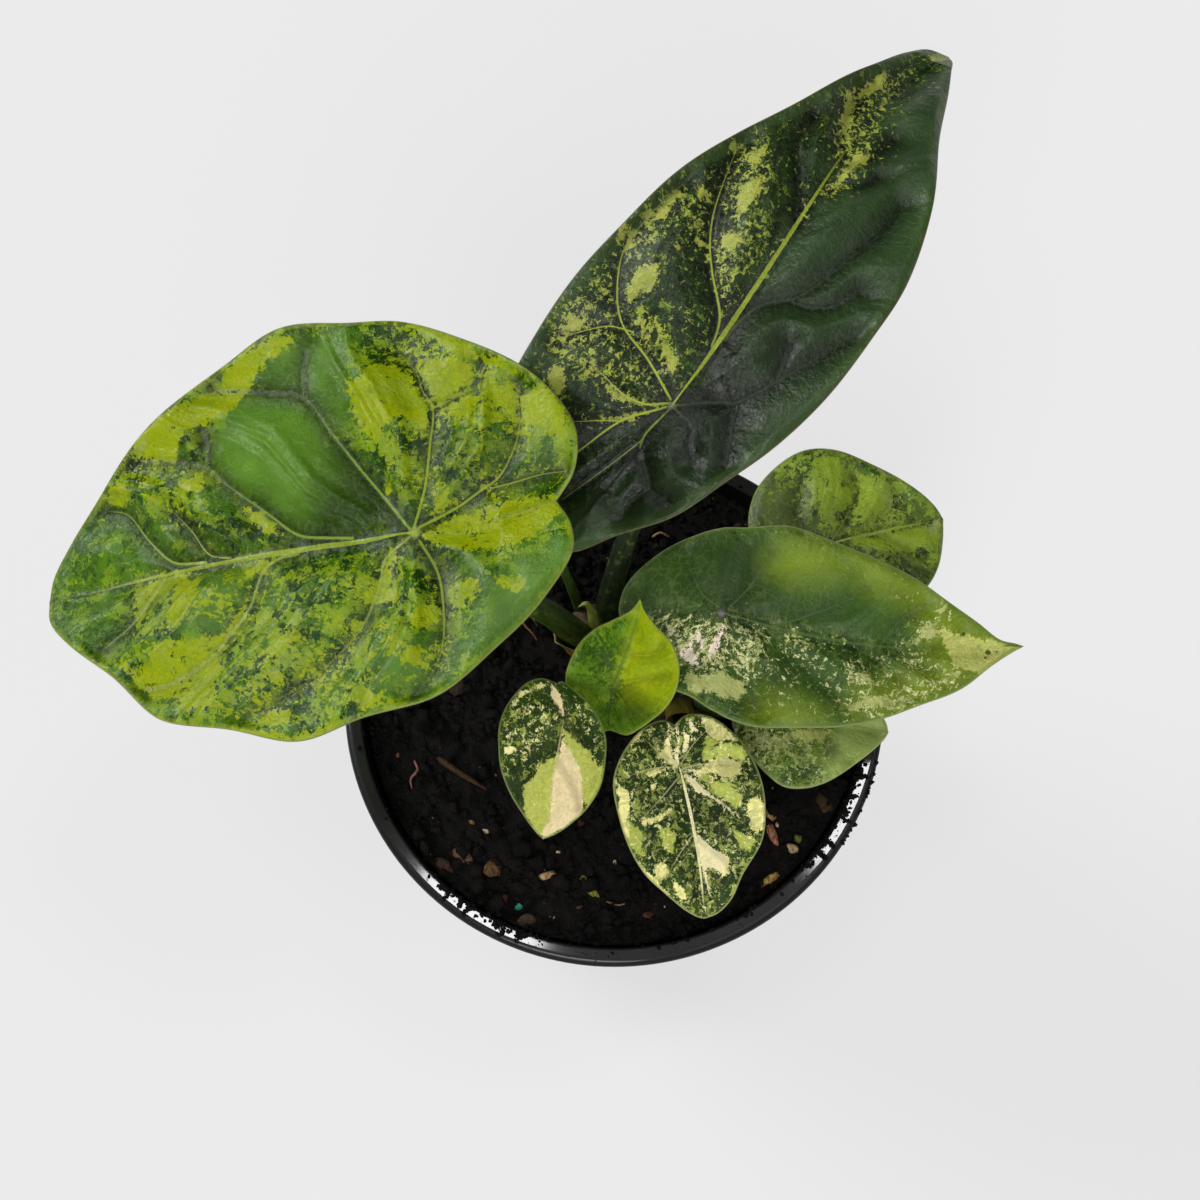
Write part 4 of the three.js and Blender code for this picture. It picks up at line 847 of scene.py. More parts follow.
def outline_loop(leaf, step):
    """Closed outline from the notch up the left half to the tip and back down the right half, and
    the number of its points before the tip."""
    sides = [spline([(-leaf["notch"], 0), *leaf[half], (leaf["tip"], 0)], step) for half in HALVES]
    return np.vstack([sides[0][:-1], sides[1][::-1][:-1]]), len(sides[0]) - 1


def segment_distance(points, loop):
    """Distance from each point to the nearest side of a closed loop."""
    best = np.full(len(points), FAR)
    for a, b in zip(loop, np.roll(loop, -1, axis=0)):
        side = b - a
        share = np.clip((points - a) @ side / max(side @ side, 1e-12), 0, 1)
        best = np.minimum(best, np.linalg.norm(points - a - share[:, None] * side, axis=1))
    return best


def inside(points, loop):
    """True for each point that a closed loop surrounds."""
    found = np.zeros(len(points), bool)
    for (x0, y0), (x1, y1) in zip(loop, np.roll(loop, -1, axis=0)):
        if y0 == y1:
            continue
        spans = (points[:, 1] >= min(y0, y1)) & (points[:, 1] < max(y0, y1))
        found ^= spans & (points[:, 0] < x0 + (points[:, 1] - y0) * (x1 - x0) / (y1 - y0))
    return found


def painted(points, shapes, softness):
    """How far each point is inside any of the shapes: 1 well inside, a half on an edge, 0 well outside."""
    value = np.zeros(len(points))
    for shape in shapes:
        weight, outline = shape if isinstance(shape, tuple) else (1, shape)
        loop = np.array(outline, float)
        depth = segment_distance(points, loop) * np.where(inside(points, loop), 1, -1)
        value = np.maximum(value, weight * np.clip(0.5 + depth / (2 * softness), 0, 1))
    return value


# Blade surface

def leaf_axes(leaf):
    """A blade's directions ahead, to its left and up."""
    a, p, r = [math.radians(leaf[key]) for key in ("heading", "pitch", "roll")]
    ahead = np.array([math.cos(a) * math.cos(p), math.sin(a) * math.cos(p), math.sin(p)])
    level = np.array([-math.sin(a), math.cos(a), 0])
    square = np.cross(ahead, level)
    return ahead, level * math.cos(r) + square * math.sin(r), square * math.cos(r) - level * math.sin(r)


def arc_step(length, bend, angle):
    """Distance along and height gained on an arc of a given bend that sets out at a given angle, and
    its angle at the end."""
    bend = np.where(np.abs(bend) < 1e-9, 1e-9, bend)
    end = angle + bend * length
    return (np.sin(end) - np.sin(angle)) / bend, (np.cos(angle) - np.cos(end)) / bend, end


def leaf_points(leaf, s, t, lift):
    """Points of a leaf's mid surface, raised by lift along the surface normal."""
    ahead, left, up = leaf_axes(leaf)
    x, z, slope = arc_step(s, np.where(s >= 0, -leaf["arch"], -leaf["back_arch"]), 0)
    normal = np.outer(np.cos(slope), up) - np.outer(np.sin(slope), ahead)
    reach = np.clip(s / leaf["tip"], 0, 1) ** leaf["bow_power"]
    drift = np.where(s > 0, leaf["bow"] * np.sin(math.pi * reach), leaf["sway"] * (s / leaf["notch"]) ** 2)
    fold = np.radians(np.where(t > 0, *leaf["fold"]))
    across = np.sqrt(t ** 2 + FOLD_ROUND ** 2) - FOLD_ROUND
    y, rise, tilt = arc_step(across, np.full_like(s, -leaf["cross_arch"]), fold)
    hand = np.clip(t / FOLD_ROUND, -1, 1)
    y = np.sign(t) * (y + np.abs(t) - across)
    middle = np.array(leaf["junction"]) + np.outer(x, ahead) + np.outer(z, up) + np.outer(drift + y, left)
    outward = np.outer(hand * np.sin(tilt) * lift, left)
    return middle - outward + normal * (rise + np.cos(tilt) * lift)[:, None]


def veins_of(name):
    """Every side vein as its half, its number and its points, and the branches as points alone."""
    main = [(half, k, spline(vein, VEIN_STEP))
            for half in HALVES for k, vein in enumerate(VEINS[name][half])]
    return main, [spline(vein, VEIN_STEP) for vein in VEINS[name].get("branches", [])]


def guide_lines(name):
    """Lines that the mesh follows: along the midrib, along the veins, and beside the veins."""
    leaf = LEAVES[name]
    main, branches = veins_of(name)
    along = np.arange(-leaf["notch"] + 1.5, leaf["tip"] - 1.5, 0.7)
    ribs = [np.stack([along, np.full(len(along), t)], 1) for t in (0, 0.45, -0.45, 1.1, -1.1)]
    veins = [vein for _, _, vein in main] + branches
    beside = []
    for vein in veins:
        ahead = np.gradient(vein, axis=0)
        square = np.stack([-ahead[:, 1], ahead[:, 0]], 1) / np.linalg.norm(ahead, axis=1)[:, None]
        beside += [vein + square * off for off in (0.35, -0.35, 0.95, -0.95)]
    return ribs, veins, beside


def ring_edges(first, count):
    return [(first + i, first + (i + 1) % count) for i in range(count)]


def filling(fixed, loop, spacing):
    """Points on a slightly uneven grid that fill an outline and keep clear of the fixed points."""
    low, high = loop.min(0), loop.max(0)
    rng = np.random.default_rng(len(loop))
    rows = np.arange(low[1], high[1], spacing * ROW_SHARE)
    grid = np.array([(x + (k % 2) * spacing / 2, y) for k, y in enumerate(rows)
                     for x in np.arange(low[0], high[0], spacing)])
    grid += rng.uniform(-0.12, 0.12, grid.shape) * spacing
    grid = grid[inside(grid, loop)]
    grid = grid[segment_distance(grid, loop) > EDGE_INSET + spacing * 0.5]
    cells = {}
    for p in fixed:
        cells.setdefault((int(p[0] // spacing), int(p[1] // spacing)), []).append(p)
    kept = []
    for p in grid:
        i, j = int(p[0] // spacing), int(p[1] // spacing)
        near = [q for di in (-1, 0, 1) for dj in (-1, 0, 1) for q in cells.get((i + di, j + dj), ())]
        if all((p[0] - q[0]) ** 2 + (p[1] - q[1]) ** 2 > (0.5 * spacing) ** 2 for q in near):
            kept.append(p)
    return kept


def flat_mesh(name, spacing):
    """Flat triangles of a blade, with edges along its outline, its midrib and its veins."""
    loop, _ = outline_loop(LEAVES[name], spacing * 0.8)
    inner = loop * (1 - EDGE_INSET / np.maximum(np.linalg.norm(loop, axis=1), 4))[:, None]
    ribs, veins, beside = guide_lines(name)
    points = [*loop, *inner]
    edges = ring_edges(0, len(loop)) + ring_edges(len(loop), len(inner))
    for k, line in enumerate(ribs + veins + beside):
        keep = inside(line, loop) & (segment_distance(line, loop) > 0.6)
        if k >= len(ribs):
            keep &= np.abs(line[:, 1]) > 0.2
        for i in np.flatnonzero(keep):
            if k < len(ribs + veins) and i > 0 and keep[i - 1]:
                edges.append((len(points) - 1, len(points)))
            points.append(line[i])
    fixed = np.array(points)
    every = np.vstack([fixed, filling(fixed, loop, spacing)])
    corners, _, faces, *_ = delaunay_2d_cdt([Vector(p) for p in every], edges, [], 1, 0.02)
    flat = np.array(corners)
    triangles = np.array([f for f in faces if len(f) == 3])
    a, b, c = [flat[triangles[:, k]] for k in range(3)]
    turn = (b[:, 0] - a[:, 0]) * (c[:, 1] - a[:, 1]) - (b[:, 1] - a[:, 1]) * (c[:, 0] - a[:, 0])
    triangles[turn < 0] = triangles[turn < 0][:, ::-1]
    return flat, triangles, loop


def edge_reach(leaf, flat):
    """Share of the way from the junction to the edge, and the place round the outline from 0 to 1."""
    loop, half = outline_loop(leaf, 0.8)
    place = np.concatenate([np.linspace(0, 0.5, half, endpoint=False),
                            np.linspace(0.5, 1, len(loop) - half, endpoint=False)])
    angle = np.unwrap(np.arctan2(loop[:, 1], loop[:, 0]))
    radius = np.linalg.norm(loop, axis=1)
    order = np.argsort(angle)
    here = np.arctan2(flat[:, 1], flat[:, 0])
    here = np.where(here > angle[order][-1], here - 2 * math.pi, here)
    here = np.where(here < angle[order][0], here + 2 * math.pi, here)
    edge = np.interp(here, angle[order], radius[order])
    return np.clip(np.linalg.norm(flat, axis=1) / edge, 0, 1), np.interp(here, angle[order], place[order])


def vein_fields(name, flat):
    """Distance to the nearest side vein over its half width, distance in mm, and two coordinates that
    run along and across the veins."""
    main, branches = veins_of(name)
    count = len(flat)
    nearest, scaled = np.full(count, 1e3), np.full(count, 1e3)
    weights, index, run = np.zeros(count), np.zeros(count), np.zeros(count)
    left_side = flat[:, 1] > 0
    size = LEAVES[name]["tip"] ** 0.5 * LOOK[name]["vein_width"]
    for half, k, vein in main + [("branch", 0, vein) for vein in branches]:
        gaps = np.linalg.norm(flat[:, None, :] - vein[None, :, :], axis=2)
        close = gaps.argmin(1)
        gap = gaps[np.arange(count), close]
        share = close / (len(vein) - 1)
        width = size * (0.62 if half == "branch" else 1) * (1 - 0.72 * share ** 1.5)
        nearest = np.minimum(nearest, gap)
        scaled = np.minimum(scaled, gap / width)
        if half != "branch":
            own = left_side if half == "left" else ~left_side
            weight = np.where(own, 1 / (gap + 0.3) ** 3, 0)
            weights += weight
            index += weight * k
            run += weight * close * VEIN_STEP
    return scaled, nearest, run / weights, index / weights * VEIN_APART + np.where(left_side, LEFT_SHIFT, 0)


def pucker(name, flat, size):
    """Smooth solid noise over a blade, about from -1 to 1."""
    seed = 13.7 * list(LEAVES).index(name)
    return np.array([solid_noise.noise(Vector((s / size, t / size, seed))) for s, t in flat])


def relief(name, flat, nearest, run, index):
    """Height of a blade's fine relief: sunk veins, pillows between them, pleats, puffs and puckers."""
    leaf, fine = LEAVES[name], RELIEF[name]
    s, t = flat.T
    tip, width = leaf["tip"], leaf["vein_width"]
    away = np.hypot(s, t)
    rib = np.where((s > -leaf["notch"] * 0.6) & (s < tip * 0.94), np.abs(t), 1e3)
    both = np.minimum(nearest, rib)
    fade = smoothstep(away, 2, 12)
    between = fade * smoothstep(both, 0.5, width)
    height = -leaf["vein_depth"] * fade * np.exp(-(both / width) ** 2)
    height += np.where(t > 0, *fine["swell"]) * fade * (0.6 - np.exp(-(both / (1.6 * width)) ** 2))
    pleats = np.cos(2 * math.pi * index / 6) + 0.6 * np.cos(2 * math.pi * index / 2.6 + run / 9)
    height -= fine["pleat"] * between * pleats
    height += fine["puff"] * between * np.sin(2 * math.pi * (run / 13 + index / 31))
    height += fine["pucker"] * pucker(name, flat, fine["pucker_size"]) * between
    height -= fine["crease"] * smoothstep(away, 1, 4) * np.exp(-(nearest / 0.8) ** 2)
    height += fine["crease"] * 0.7 * np.exp(-(nearest / 0.3) ** 2) * smoothstep(away, 0.5, 2)
    height += 0.35 * np.exp(-(t / 0.6) ** 2) * smoothstep(s, tip, tip * 0.3)
    return height * smoothstep(tip - s, 0.02 * tip, 0.16 * tip)


def blade_fields(name, flat, edge, veins):
    """The vectors that a blade's material reads at each point of its flat shape."""
    s, t = flat.T
    scaled, nearest, run, index = veins
    tip, look = LEAVES[name]["tip"], LOOK[name]

    def region(key, softness):
        return painted(flat, PATCHES[name].get(key, []), softness)

    number = np.where(t > 0, index - LEFT_SHIFT, index) / VEIN_APART
    shown = np.where(t > 0, *look["lines"]) * smoothstep(run, tip * 0.6, tip * 0.1)
    shown *= smoothstep(number, look["faint"], look["faint"] - 0.3)
    specks = np.maximum(region("dense", 2.5), 0.4 * region("dusted", 2.5))
    return {
        "place": np.stack([s, t, edge], 1),
        "flow": np.stack([run, index, np.minimum(scaled, 60)], 1),
        "paint": np.stack([region("pale", 1.1), region("plain", 3), region("deep", 4)], 1),
        "tone": np.stack([region("cream", 1), specks, np.minimum(nearest, 60)], 1),
        "more": np.stack([region("lime", 1.5), region("pale", 6), region("broken", 3)], 1),
        "extra": np.stack([np.zeros(len(flat)), region("glow", 6), shown], 1),
    }


def blade(name):
    """A blade as one closed skin, with its upper and under sides joined at the edge."""
    leaf = LEAVES[name]
    flat, triangles, loop = flat_mesh(name, RELIEF[name]["spacing"])
    s, t = flat.T
    edge = segment_distance(flat, loop)
    reach, place = edge_reach(leaf, flat)
    veins = vein_fields(name, flat)
    ripple = leaf["wave"] * reach ** 3 * np.sin(leaf["waves"] * 2 * math.pi * place)
    rim = np.clip(edge / RIM_ROUND, 0, 1)
    half_thick = HALF_THICK * np.sqrt(rim * (2 - rim))
    height = relief(name, flat, *veins[1:]) * smoothstep(edge, 0, 2.5) + ripple
    top = leaf_points(leaf, s, t, height + half_thick)
    under = leaf_points(leaf, s, t, height - half_thick)
    border = edge < 1e-3
    below = np.arange(len(flat))
    below[~border] = len(flat) + np.arange((~border).sum())
    points = np.vstack([top, under[~border]])
    faces = np.vstack([triangles, below[triangles][:, ::-1]])
    fields = blade_fields(name, flat, edge, veins)
    fields = {key: np.vstack([value, value[~border]]) for key, value in fields.items()}
    fields["extra"][:, 0] = np.concatenate([np.where(border, 0.5, 0), np.ones((~border).sum())])
    piece = mesh_piece("leaf_" + name, points, faces, fields)
    dress(piece, blade_material(name), "blade_" + name, "blade_" + name)


# Making pieces

def mesh_piece(name, points, faces, fields=None):
    """A smooth mesh from points in millimetres, faces as lists of corners, and vectors for the points."""
    mesh = bpy.data.meshes.new(name)
    mesh.from_pydata((np.asarray(points) * MM).tolist(), [], [list(map(int, f)) for f in faces])
    for key, values in (fields or {}).items():
        mesh.attributes.new(key, "FLOAT_VECTOR", "POINT").data.foreach_set(
            "vector", np.ascontiguousarray(values, np.float32).ravel())
    mesh.shade_smooth()
    return stand(name, mesh)


def stand(name, data):
    """A new object of the scene that shows the given data."""
    thing = bpy.data.objects.new(name, data)
    bpy.context.scene.collection.objects.link(thing)
    return thing


def dress(piece, material, slot, *nodes):
    """Gives a piece its material and lets it stand for CAD nodes. The slot is not used."""
    piece.data.materials.append(material)
    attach(piece, "root")
    if nodes:
        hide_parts(*nodes)


class Shader:
    """A material's node tree, with one short call for each kind of node."""

    def __init__(self, name):
        self.material = bpy.data.materials.new(name)
        self.material.use_nodes = True
        self.nodes = self.material.node_tree.nodes
        self.links = self.material.node_tree.links
        self.surface = self.nodes["Principled BSDF"]

    def put(self, socket, value):
        if isinstance(value, bpy.types.NodeSocket):
            self.links.new(value, socket)
        else:
            socket.default_value = value

    def fill(self, node, *values):
        """Puts values into a node's first sockets, and gives back its first output."""
        for socket, value in zip(node.inputs, values):
            self.put(socket, value)
        return node.outputs[0]

    def attribute(self, name):
        """A vector that the mesh carries."""
        node = self.nodes.new("ShaderNodeAttribute")
        node.attribute_name = name
        return node.outputs["Vector"]

    def parts(self, name):
        """The three parts of a vector that the mesh carries."""
        return self.split(self.attribute(name))

    def position(self):
        """Place in the object in millimetres."""
        return self.scale(self.nodes.new("ShaderNodeNewGeometry").outputs["Position"], (1000, 1000, 1000))

    def split(self, vector):
        node = self.nodes.new("ShaderNodeSeparateXYZ")
        self.fill(node, vector)
        return list(node.outputs)

    def join(self, x, y, z=0.0):
        return self.fill(self.nodes.new("ShaderNodeCombineXYZ"), x, y, z)

    def math(self, operation, a, b=0.0, c=0.0, clamp=False):
        node = self.nodes.new("ShaderNodeMath")
        node.operation = operation
        node.use_clamp = clamp
        return self.fill(node, a, b, c)

    def times(self, a, b):
        return self.math("MULTIPLY", a, b)

    def total(self, start, *parts):
        """A value with weighted parts added to it."""
        for value, weight in parts:
            start = self.math("MULTIPLY_ADD", value, weight, start)
        return start

    def vector(self, operation, a, b):
        node = self.nodes.new("ShaderNodeVectorMath")
        node.operation = operation
        return self.fill(node, a, b)

    def shift(self, vector, way):
        return self.vector("ADD", vector, way)

    def scale(self, vector, factors):
        return self.vector("MULTIPLY", vector, factors)

    def length(self, vector):
        node = self.nodes.new("ShaderNodeVectorMath")
        node.operation = "LENGTH"
        self.fill(node, vector)
        return node.outputs["Value"]

    def ramp(self, value, low, high, start=0.0, end=1.0):
        """Smooth step from start to end as value goes from low to high."""
        node = self.nodes.new("ShaderNodeMapRange")
        node.interpolation_type = "SMOOTHSTEP"
        return self.fill(node, value, low, high, start, end)

    def noise(self, vector, scale, detail=2.0, roughness=0.5, colour=False):
        node = self.nodes.new("ShaderNodeTexNoise")
        self.put(node.inputs["Vector"], vector)
        self.put(node.inputs["Scale"], scale)
        self.put(node.inputs["Detail"], detail)
        self.put(node.inputs["Roughness"], roughness)
        return node.outputs["Color" if colour else "Fac"]

    def cells(self, vector, scale, feature="F1"):
        """The outputs of small cells that fill a surface."""
        node = self.nodes.new("ShaderNodeTexVoronoi")
        node.feature = feature
        self.put(node.inputs["Vector"], vector)
        self.put(node.inputs["Scale"], scale)
        return node.outputs

    def cell_number(self, vector, scale):
        """A random number for each cell."""
        return self.split(self.cells(vector, scale)["Color"])[0]

    def mix(self, factor, a, b):
        node = self.nodes.new("ShaderNodeMix")
        node.data_type = "RGBA"
        self.put(node.inputs["Factor"], factor)
        self.put(node.inputs[6], a)
        self.put(node.inputs[7], b)
        return node.outputs[2]

    def shade(self, colour, factor):
        """A colour times a number."""
        if isinstance(colour, tuple):
            if not isinstance(factor, bpy.types.NodeSocket):
                return (*[share * factor for share in colour[:3]], 1.0)
            colour = colour[:3]
        return self.scale(colour, self.join(factor, factor, factor))

    def vary(self, colour, value, low, high, start, end):
        """A colour times a factor that goes from start to end as value goes from low to high."""
        return self.shade(colour, self.ramp(value, low, high, start, end))

    def bump(self, height):
        """Height in millimetres."""
        node = self.nodes.new("ShaderNodeBump")
        node.inputs["Distance"].default_value = MM
        self.put(node.inputs["Height"], height)
        self.put(self.surface.inputs["Normal"], node.outputs[0])

    def finish(self, colour, roughness, specular=0.5, coat_roughness=0.3):
        self.put(self.surface.inputs["Base Color"], colour)
        self.put(self.surface.inputs["Roughness"], roughness)
        self.surface.inputs["Specular IOR Level"].default_value = specular
        self.surface.inputs["Coat Roughness"].default_value = coat_roughness
        return self.material


class LeafSkin(Shader):
    """The skin of one blade: what its mesh tells, noises of several sizes, and layers of colour."""

    def __init__(self, name):
        super().__init__("leaf_skin_" + name)
        self.paint = {key: linear(value) for key, value in PAINT[name].items()}
        self.look = LOOK[name]
        self.tip = LEAVES[name]["tip"]
        self.spots = SPOTS.get(name, [])
        self.s, self.t, self.edge = self.parts("place")
        self.run, self.index, self.vein = self.parts("flow")
        self.pale, self.plain, self.deep = self.parts("paint")
        self.cream, self.dense, self.nearest = self.parts("tone")
        self.under, self.glow, self.shown = self.parts("extra")
        self.lime, self.near, self.broken = self.parts("more")
        self.away = self.length(self.join(self.s, self.t))
        self.across = self.rib_share()
        self.mottled = self.math("SUBTRACT", 1.0, self.plain, clamp=True)
        self.grow_noises(17.3 * list(LEAVES).index(name))

    def rib_share(self):
        """Distance from the midrib's middle over its half width, which shrinks to the tip."""
        tip, look = self.tip, self.look
        foot = self.ramp(self.s, 0, tip * 0.2, 0.6, 1)
        wide = look["rib_width"]
        width = self.ramp(self.s, tip * 0.25, tip * look["rib_end"], wide, wide * 0.35)
        return self.math("DIVIDE", self.math("ABSOLUTE", self.t), self.times(foot, width))

    def grow_noises(self, seed):
        """Noises that the layers share. Some lie flat, and some are stretched along the veins."""
        cell = self.look["cell"]
        self.flat = self.join(self.s, self.t, seed)
        stray = self.vector("SUBTRACT", self.noise(self.flat, 0.7, 4, 0.65, colour=True), (0.5, 0.5, 0.5))
        stray = self.scale(stray, (3, 3, 0))
        spot = self.shift(self.flat, stray)
        streak = self.shift(self.join(self.run, self.index, seed), stray)
        shred = self.scale(streak, (self.look["grain_run"], 1, 1))
        numbers = self.math("ADD", self.cell_number(spot, 0.85 * cell), self.cell_number(spot, 2.1 * cell))
        self.grain = self.math("SUBTRACT", numbers, 1.0)
        self.fine = self.math("SUBTRACT", self.noise(spot, 0.9, 4, 0.65), 0.5)
        self.torn = self.noise(self.shift(shred, (31, 0, 0)), 0.2 * cell, 5, 0.66)
        self.broad = self.noise(self.shift(spot, (0, 47, 0)), 0.2 * cell, 5, 0.66)
        ragged = self.noise(self.shift(shred, (0, 0, 9)), 0.26 * cell, 5, 0.66)
        self.ragged = self.math("SUBTRACT", ragged, 0.5)
        self.specks = self.noise(self.shift(spot, (13, 5, 0)), 1.5, 3, 0.6)
        self.dots = self.noise(self.shift(spot, (60, 5, 0)), 0.75, 4, 0.7)
        self.drift = self.noise(self.flat, 0.05, 2, 0.5)
        self.tertiary = self.noise(self.scale(streak, (0.12, 1.1, 1)), 1.0, 3, 0.6)
        self.net = self.cells(spot, 0.5, "DISTANCE_TO_EDGE")["Distance"]

    def mottled_green(self):
        """Middle green with dark and light cells and dark nicks."""
        paint, look = self.paint, self.look
        darker = self.ramp(self.total(self.torn, (self.fine, 0.45), (self.grain, 0.08)),
                           look["dark"] + 0.012, look["dark"] - 0.012)
        green = self.mix(darker, paint["mid"], paint["dark"])
        green = self.vary(green, self.specks, 0.3, 0.7, 0.76, 1.26)
        lighter = self.total(self.broad, (self.fine, -0.4), (self.grain, 0.1), (self.near, 0.08),
                             (self.broken, 0.1))
        lighter = self.ramp(lighter, look["light"], look["light"] + 0.015)
        green = self.mix(self.times(lighter, 0.9), green, paint["light"])
        nicks = self.ramp(self.total(self.specks, (self.grain, -0.1), (self.fine, 0.3)), 0.38, 0.36)
        return self.mix(self.times(nicks, 0.5), green, paint["dark"])

    def even_green(self):
        """Green without mottling, streaked between the veins, and darker at the junction as painted shade.
        """
        plain = self.paint["plain"]
        green = self.mix(self.ramp(self.drift, 0.35, 0.65), self.shade(plain, 0.8), self.shade(plain, 1.2))
        green = self.vary(green, self.tertiary, 0.3, 0.7, 0.86, 1.14)
        # Painted shade: darker towards the junction, brighter out towards the margin
        return self.vary(green, self.away, self.tip * 0.08, self.tip * 0.5, 0.6, 1.15)

    def green_layers(self):
        """All green tissue: glows, deep places, painted shade beside veins and midrib, lime sides."""
        green = self.mix(self.plain, self.mottled_green(), self.even_green())
        if "glow" in self.paint:
            glow = self.vary(self.paint["glow"], self.specks, 0.3, 0.7, 0.88, 1.1)
            green = self.mix(self.glow, green, glow)
        # Deep places: partly darker tissue, partly painted shade near the junction
        green = self.mix(self.deep, green, self.shade(green, 0.34))
        # Painted shade: darker along the flanks of the side veins and of the midrib
        reach, depth = self.look["flank"]
        green = self.vary(green, self.total(self.nearest, (self.fine, 2)), 0.1, reach, depth, 1)
        narrow = 0.35 + 0.65 * depth
        green = self.vary(green, self.nearest, 0.4, 1.3, narrow, 1)
        green = self.vary(green, self.across, 1.1, 5, narrow - 0.07, 1)
        sides = self.ramp(self.total(self.lime, (self.fine, 1.2), (self.ragged, 1.6)), 0.45, 0.55)
        lime = self.vary(self.paint["lime"], self.specks, 0.3, 0.7, 0.8, 1.15)
        return self.mix(self.times(sides, 0.85), green, lime)

    def flecked(self, green):
        """Small light flecks, closest together in the dense regions."""
        paint, look = self.paint, self.look
        flecks = self.total(self.dots, (self.grain, 0.16), (self.dense, 0.17), (self.near, 0.05))
        flecks = self.ramp(flecks, look["fleck"], look["fleck"] + 0.012)
        flecks = self.times(flecks, self.math("MAXIMUM", self.ramp(self.dense, 0.02, 0.2), self.mottled))
        colour = self.ramp(self.total(self.specks, (self.dense, 0.1)), 0.45, 0.6)
        colour = self.mix(colour, paint["light"], paint["fleck"])
        return self.mix(self.times(flecks, self.ramp(self.deep, 0, 1, 1, 0.4)), green, colour)

    def with_patches(self, green):
        """Pale and cream tissue where the green is missing, in patches with torn edges."""
        paint, look = self.paint, self.look
        wanted = self.math("MAXIMUM", self.pale, self.broken)
        missing = self.total(wanted, (self.ragged, look["tear"]), (self.fine, 1.2 * look["grit"]),
                             (self.grain, 0.42 * look["grit"]), (self.deep, -0.4),
                             (self.mottled, look["loose"]))
        missing = self.ramp(missing, 0.49, 0.515)
        missing = self.times(missing, self.math("MAXIMUM", self.ramp(wanted, 0.02, 0.15), self.mottled))
        bright = self.mix(self.cream, paint["pale"], paint.get("cream", paint["pale"]))
        softer = self.math("SUBTRACT", 1.0, self.times(self.cream, 0.8))
        cloud = self.ramp(self.total(self.broad, (self.fine, 0.4)), 0.52, 0.62, 0, 0.4)
        bright = self.mix(self.times(cloud, softer), bright, paint["light"])
        wash = self.ramp(self.total(self.torn, (self.fine, 0.5), (self.grain, 0.05)),
                         look["dark"] - 0.02, look["dark"] - 0.05, 0, 0.3)
        bright = self.mix(self.times(wash, softer), bright, paint["mid"])
        bright = self.vary(bright, self.specks, 0.35, 0.65, 0.9, 1.08)
        # Painted shade: the pale tissue darker beside the veins
        bright = self.vary(bright, self.nearest, 0.2, 1.5, 0.74, 1)
        return self.mix(missing, green, bright)

    def with_lines(self, colour):
        """The net's threads, the band along the edge, the side veins and the midrib."""
        paint, look = self.paint, self.look
        threads = self.times(look["net"], self.ramp(self.drift, 0.3, 0.6))
        colour = self.mix(self.times(self.ramp(self.net, 0.08, 0.02), threads), colour, paint["light"])
        width, strength = look["band"]
        band = self.times(self.ramp(self.edge, width, width * 0.6), strength)
        colour = self.mix(band, colour, paint["band"])
        line = self.times(self.ramp(self.vein, 1.15, 0.7), self.shown)
        line_colour = self.mix(self.plain, paint["vein"], self.shade(paint["plain"], 1.6))
        colour = self.mix(line, colour, line_colour)
        rib = self.ramp(self.total(self.across, (self.fine, 0.8)), 1.15, 0.85)
        rib = self.times(rib, self.ramp(self.s, -0.5, 0.5))
        end = look["rib_end"]
        rib = self.times(rib, self.ramp(self.s, self.tip * end, self.tip * (end - 0.3)))
        rib_colour = self.vary(paint["vein"], self.specks, 0.35, 0.65, 0.85, 1.1)
        return self.mix(self.times(rib, look["rib"]), colour, rib_colour)

    def with_marks(self, colour):
        """The spot at the junction, dead spots, the thin rim and the paler underside."""
        heart = self.look["heart"]
        if heart:
            middle = self.ramp(self.total(self.away, (self.fine, 1.5)), heart * 1.5, heart * 0.4, 0, 0.75)
            colour = self.mix(middle, colour, self.paint["heart"])
        for (x, y), radius in self.spots:
            gap = self.length(self.vector("SUBTRACT", self.join(self.s, self.t), (x, y, 0)))
            dead = self.ramp(self.total(gap, (self.fine, 0.5)), radius * 1.15, radius * 0.8, 0, 0.85)
            colour = self.mix(dead, colour, linear(DEAD_TISSUE))
        colour = self.mix(self.times(self.ramp(self.edge, 0.42, 0.22), 0.7), colour, self.paint["rim"])
        backs = self.mix(self.ramp(self.torn, 0.4, 0.6), *[linear(green) for green in UNDERSIDE])
        return self.mix(self.times(self.under, 0.7), colour, backs)

    def add_texture(self):
        """Fine bumps: the net, skin grain in two sizes, and ribbing between the veins."""
        height = self.times(self.ramp(self.net, 0, 0.2), 0.05)
        self.bump(self.total(height, (self.noise(self.flat, 1.6, 4, 0.6), 0.12), (self.tertiary, 0.1),
                             (self.noise(self.flat, 0.35, 2, 0.5), 0.3)))

    def gloss(self):
        """Roughness, which is highest beside veins and on the underside."""
        rough = self.ramp(self.noise(self.flat, 0.5, 3, 0.6), 0.3, 0.7, *self.look["rough"])
        rough = self.math("ADD", rough, self.ramp(self.nearest, 0, 3, 0.05, 0))
        return self.math("ADD", rough, self.times(self.under, 0.15))


def blade_material(name):
    """Leaf skin: green layers that drop out in torn cells and patches, with veins and a fine net."""
    skin = LeafSkin(name)
    colour = skin.with_patches(skin.flecked(skin.green_layers()))
    colour = skin.with_marks(skin.with_lines(colour))
    skin.add_texture()
    return skin.finish(colour, skin.gloss(), skin.look["specular"])


# Stalks, stems and sheaths

def bezier(a, b, c, d, count):
    u = np.linspace(0, 1, count)[:, None]
    return (1 - u) ** 3 * a + 3 * (1 - u) ** 2 * u * b + 3 * (1 - u) * u * u * c + u ** 3 * d


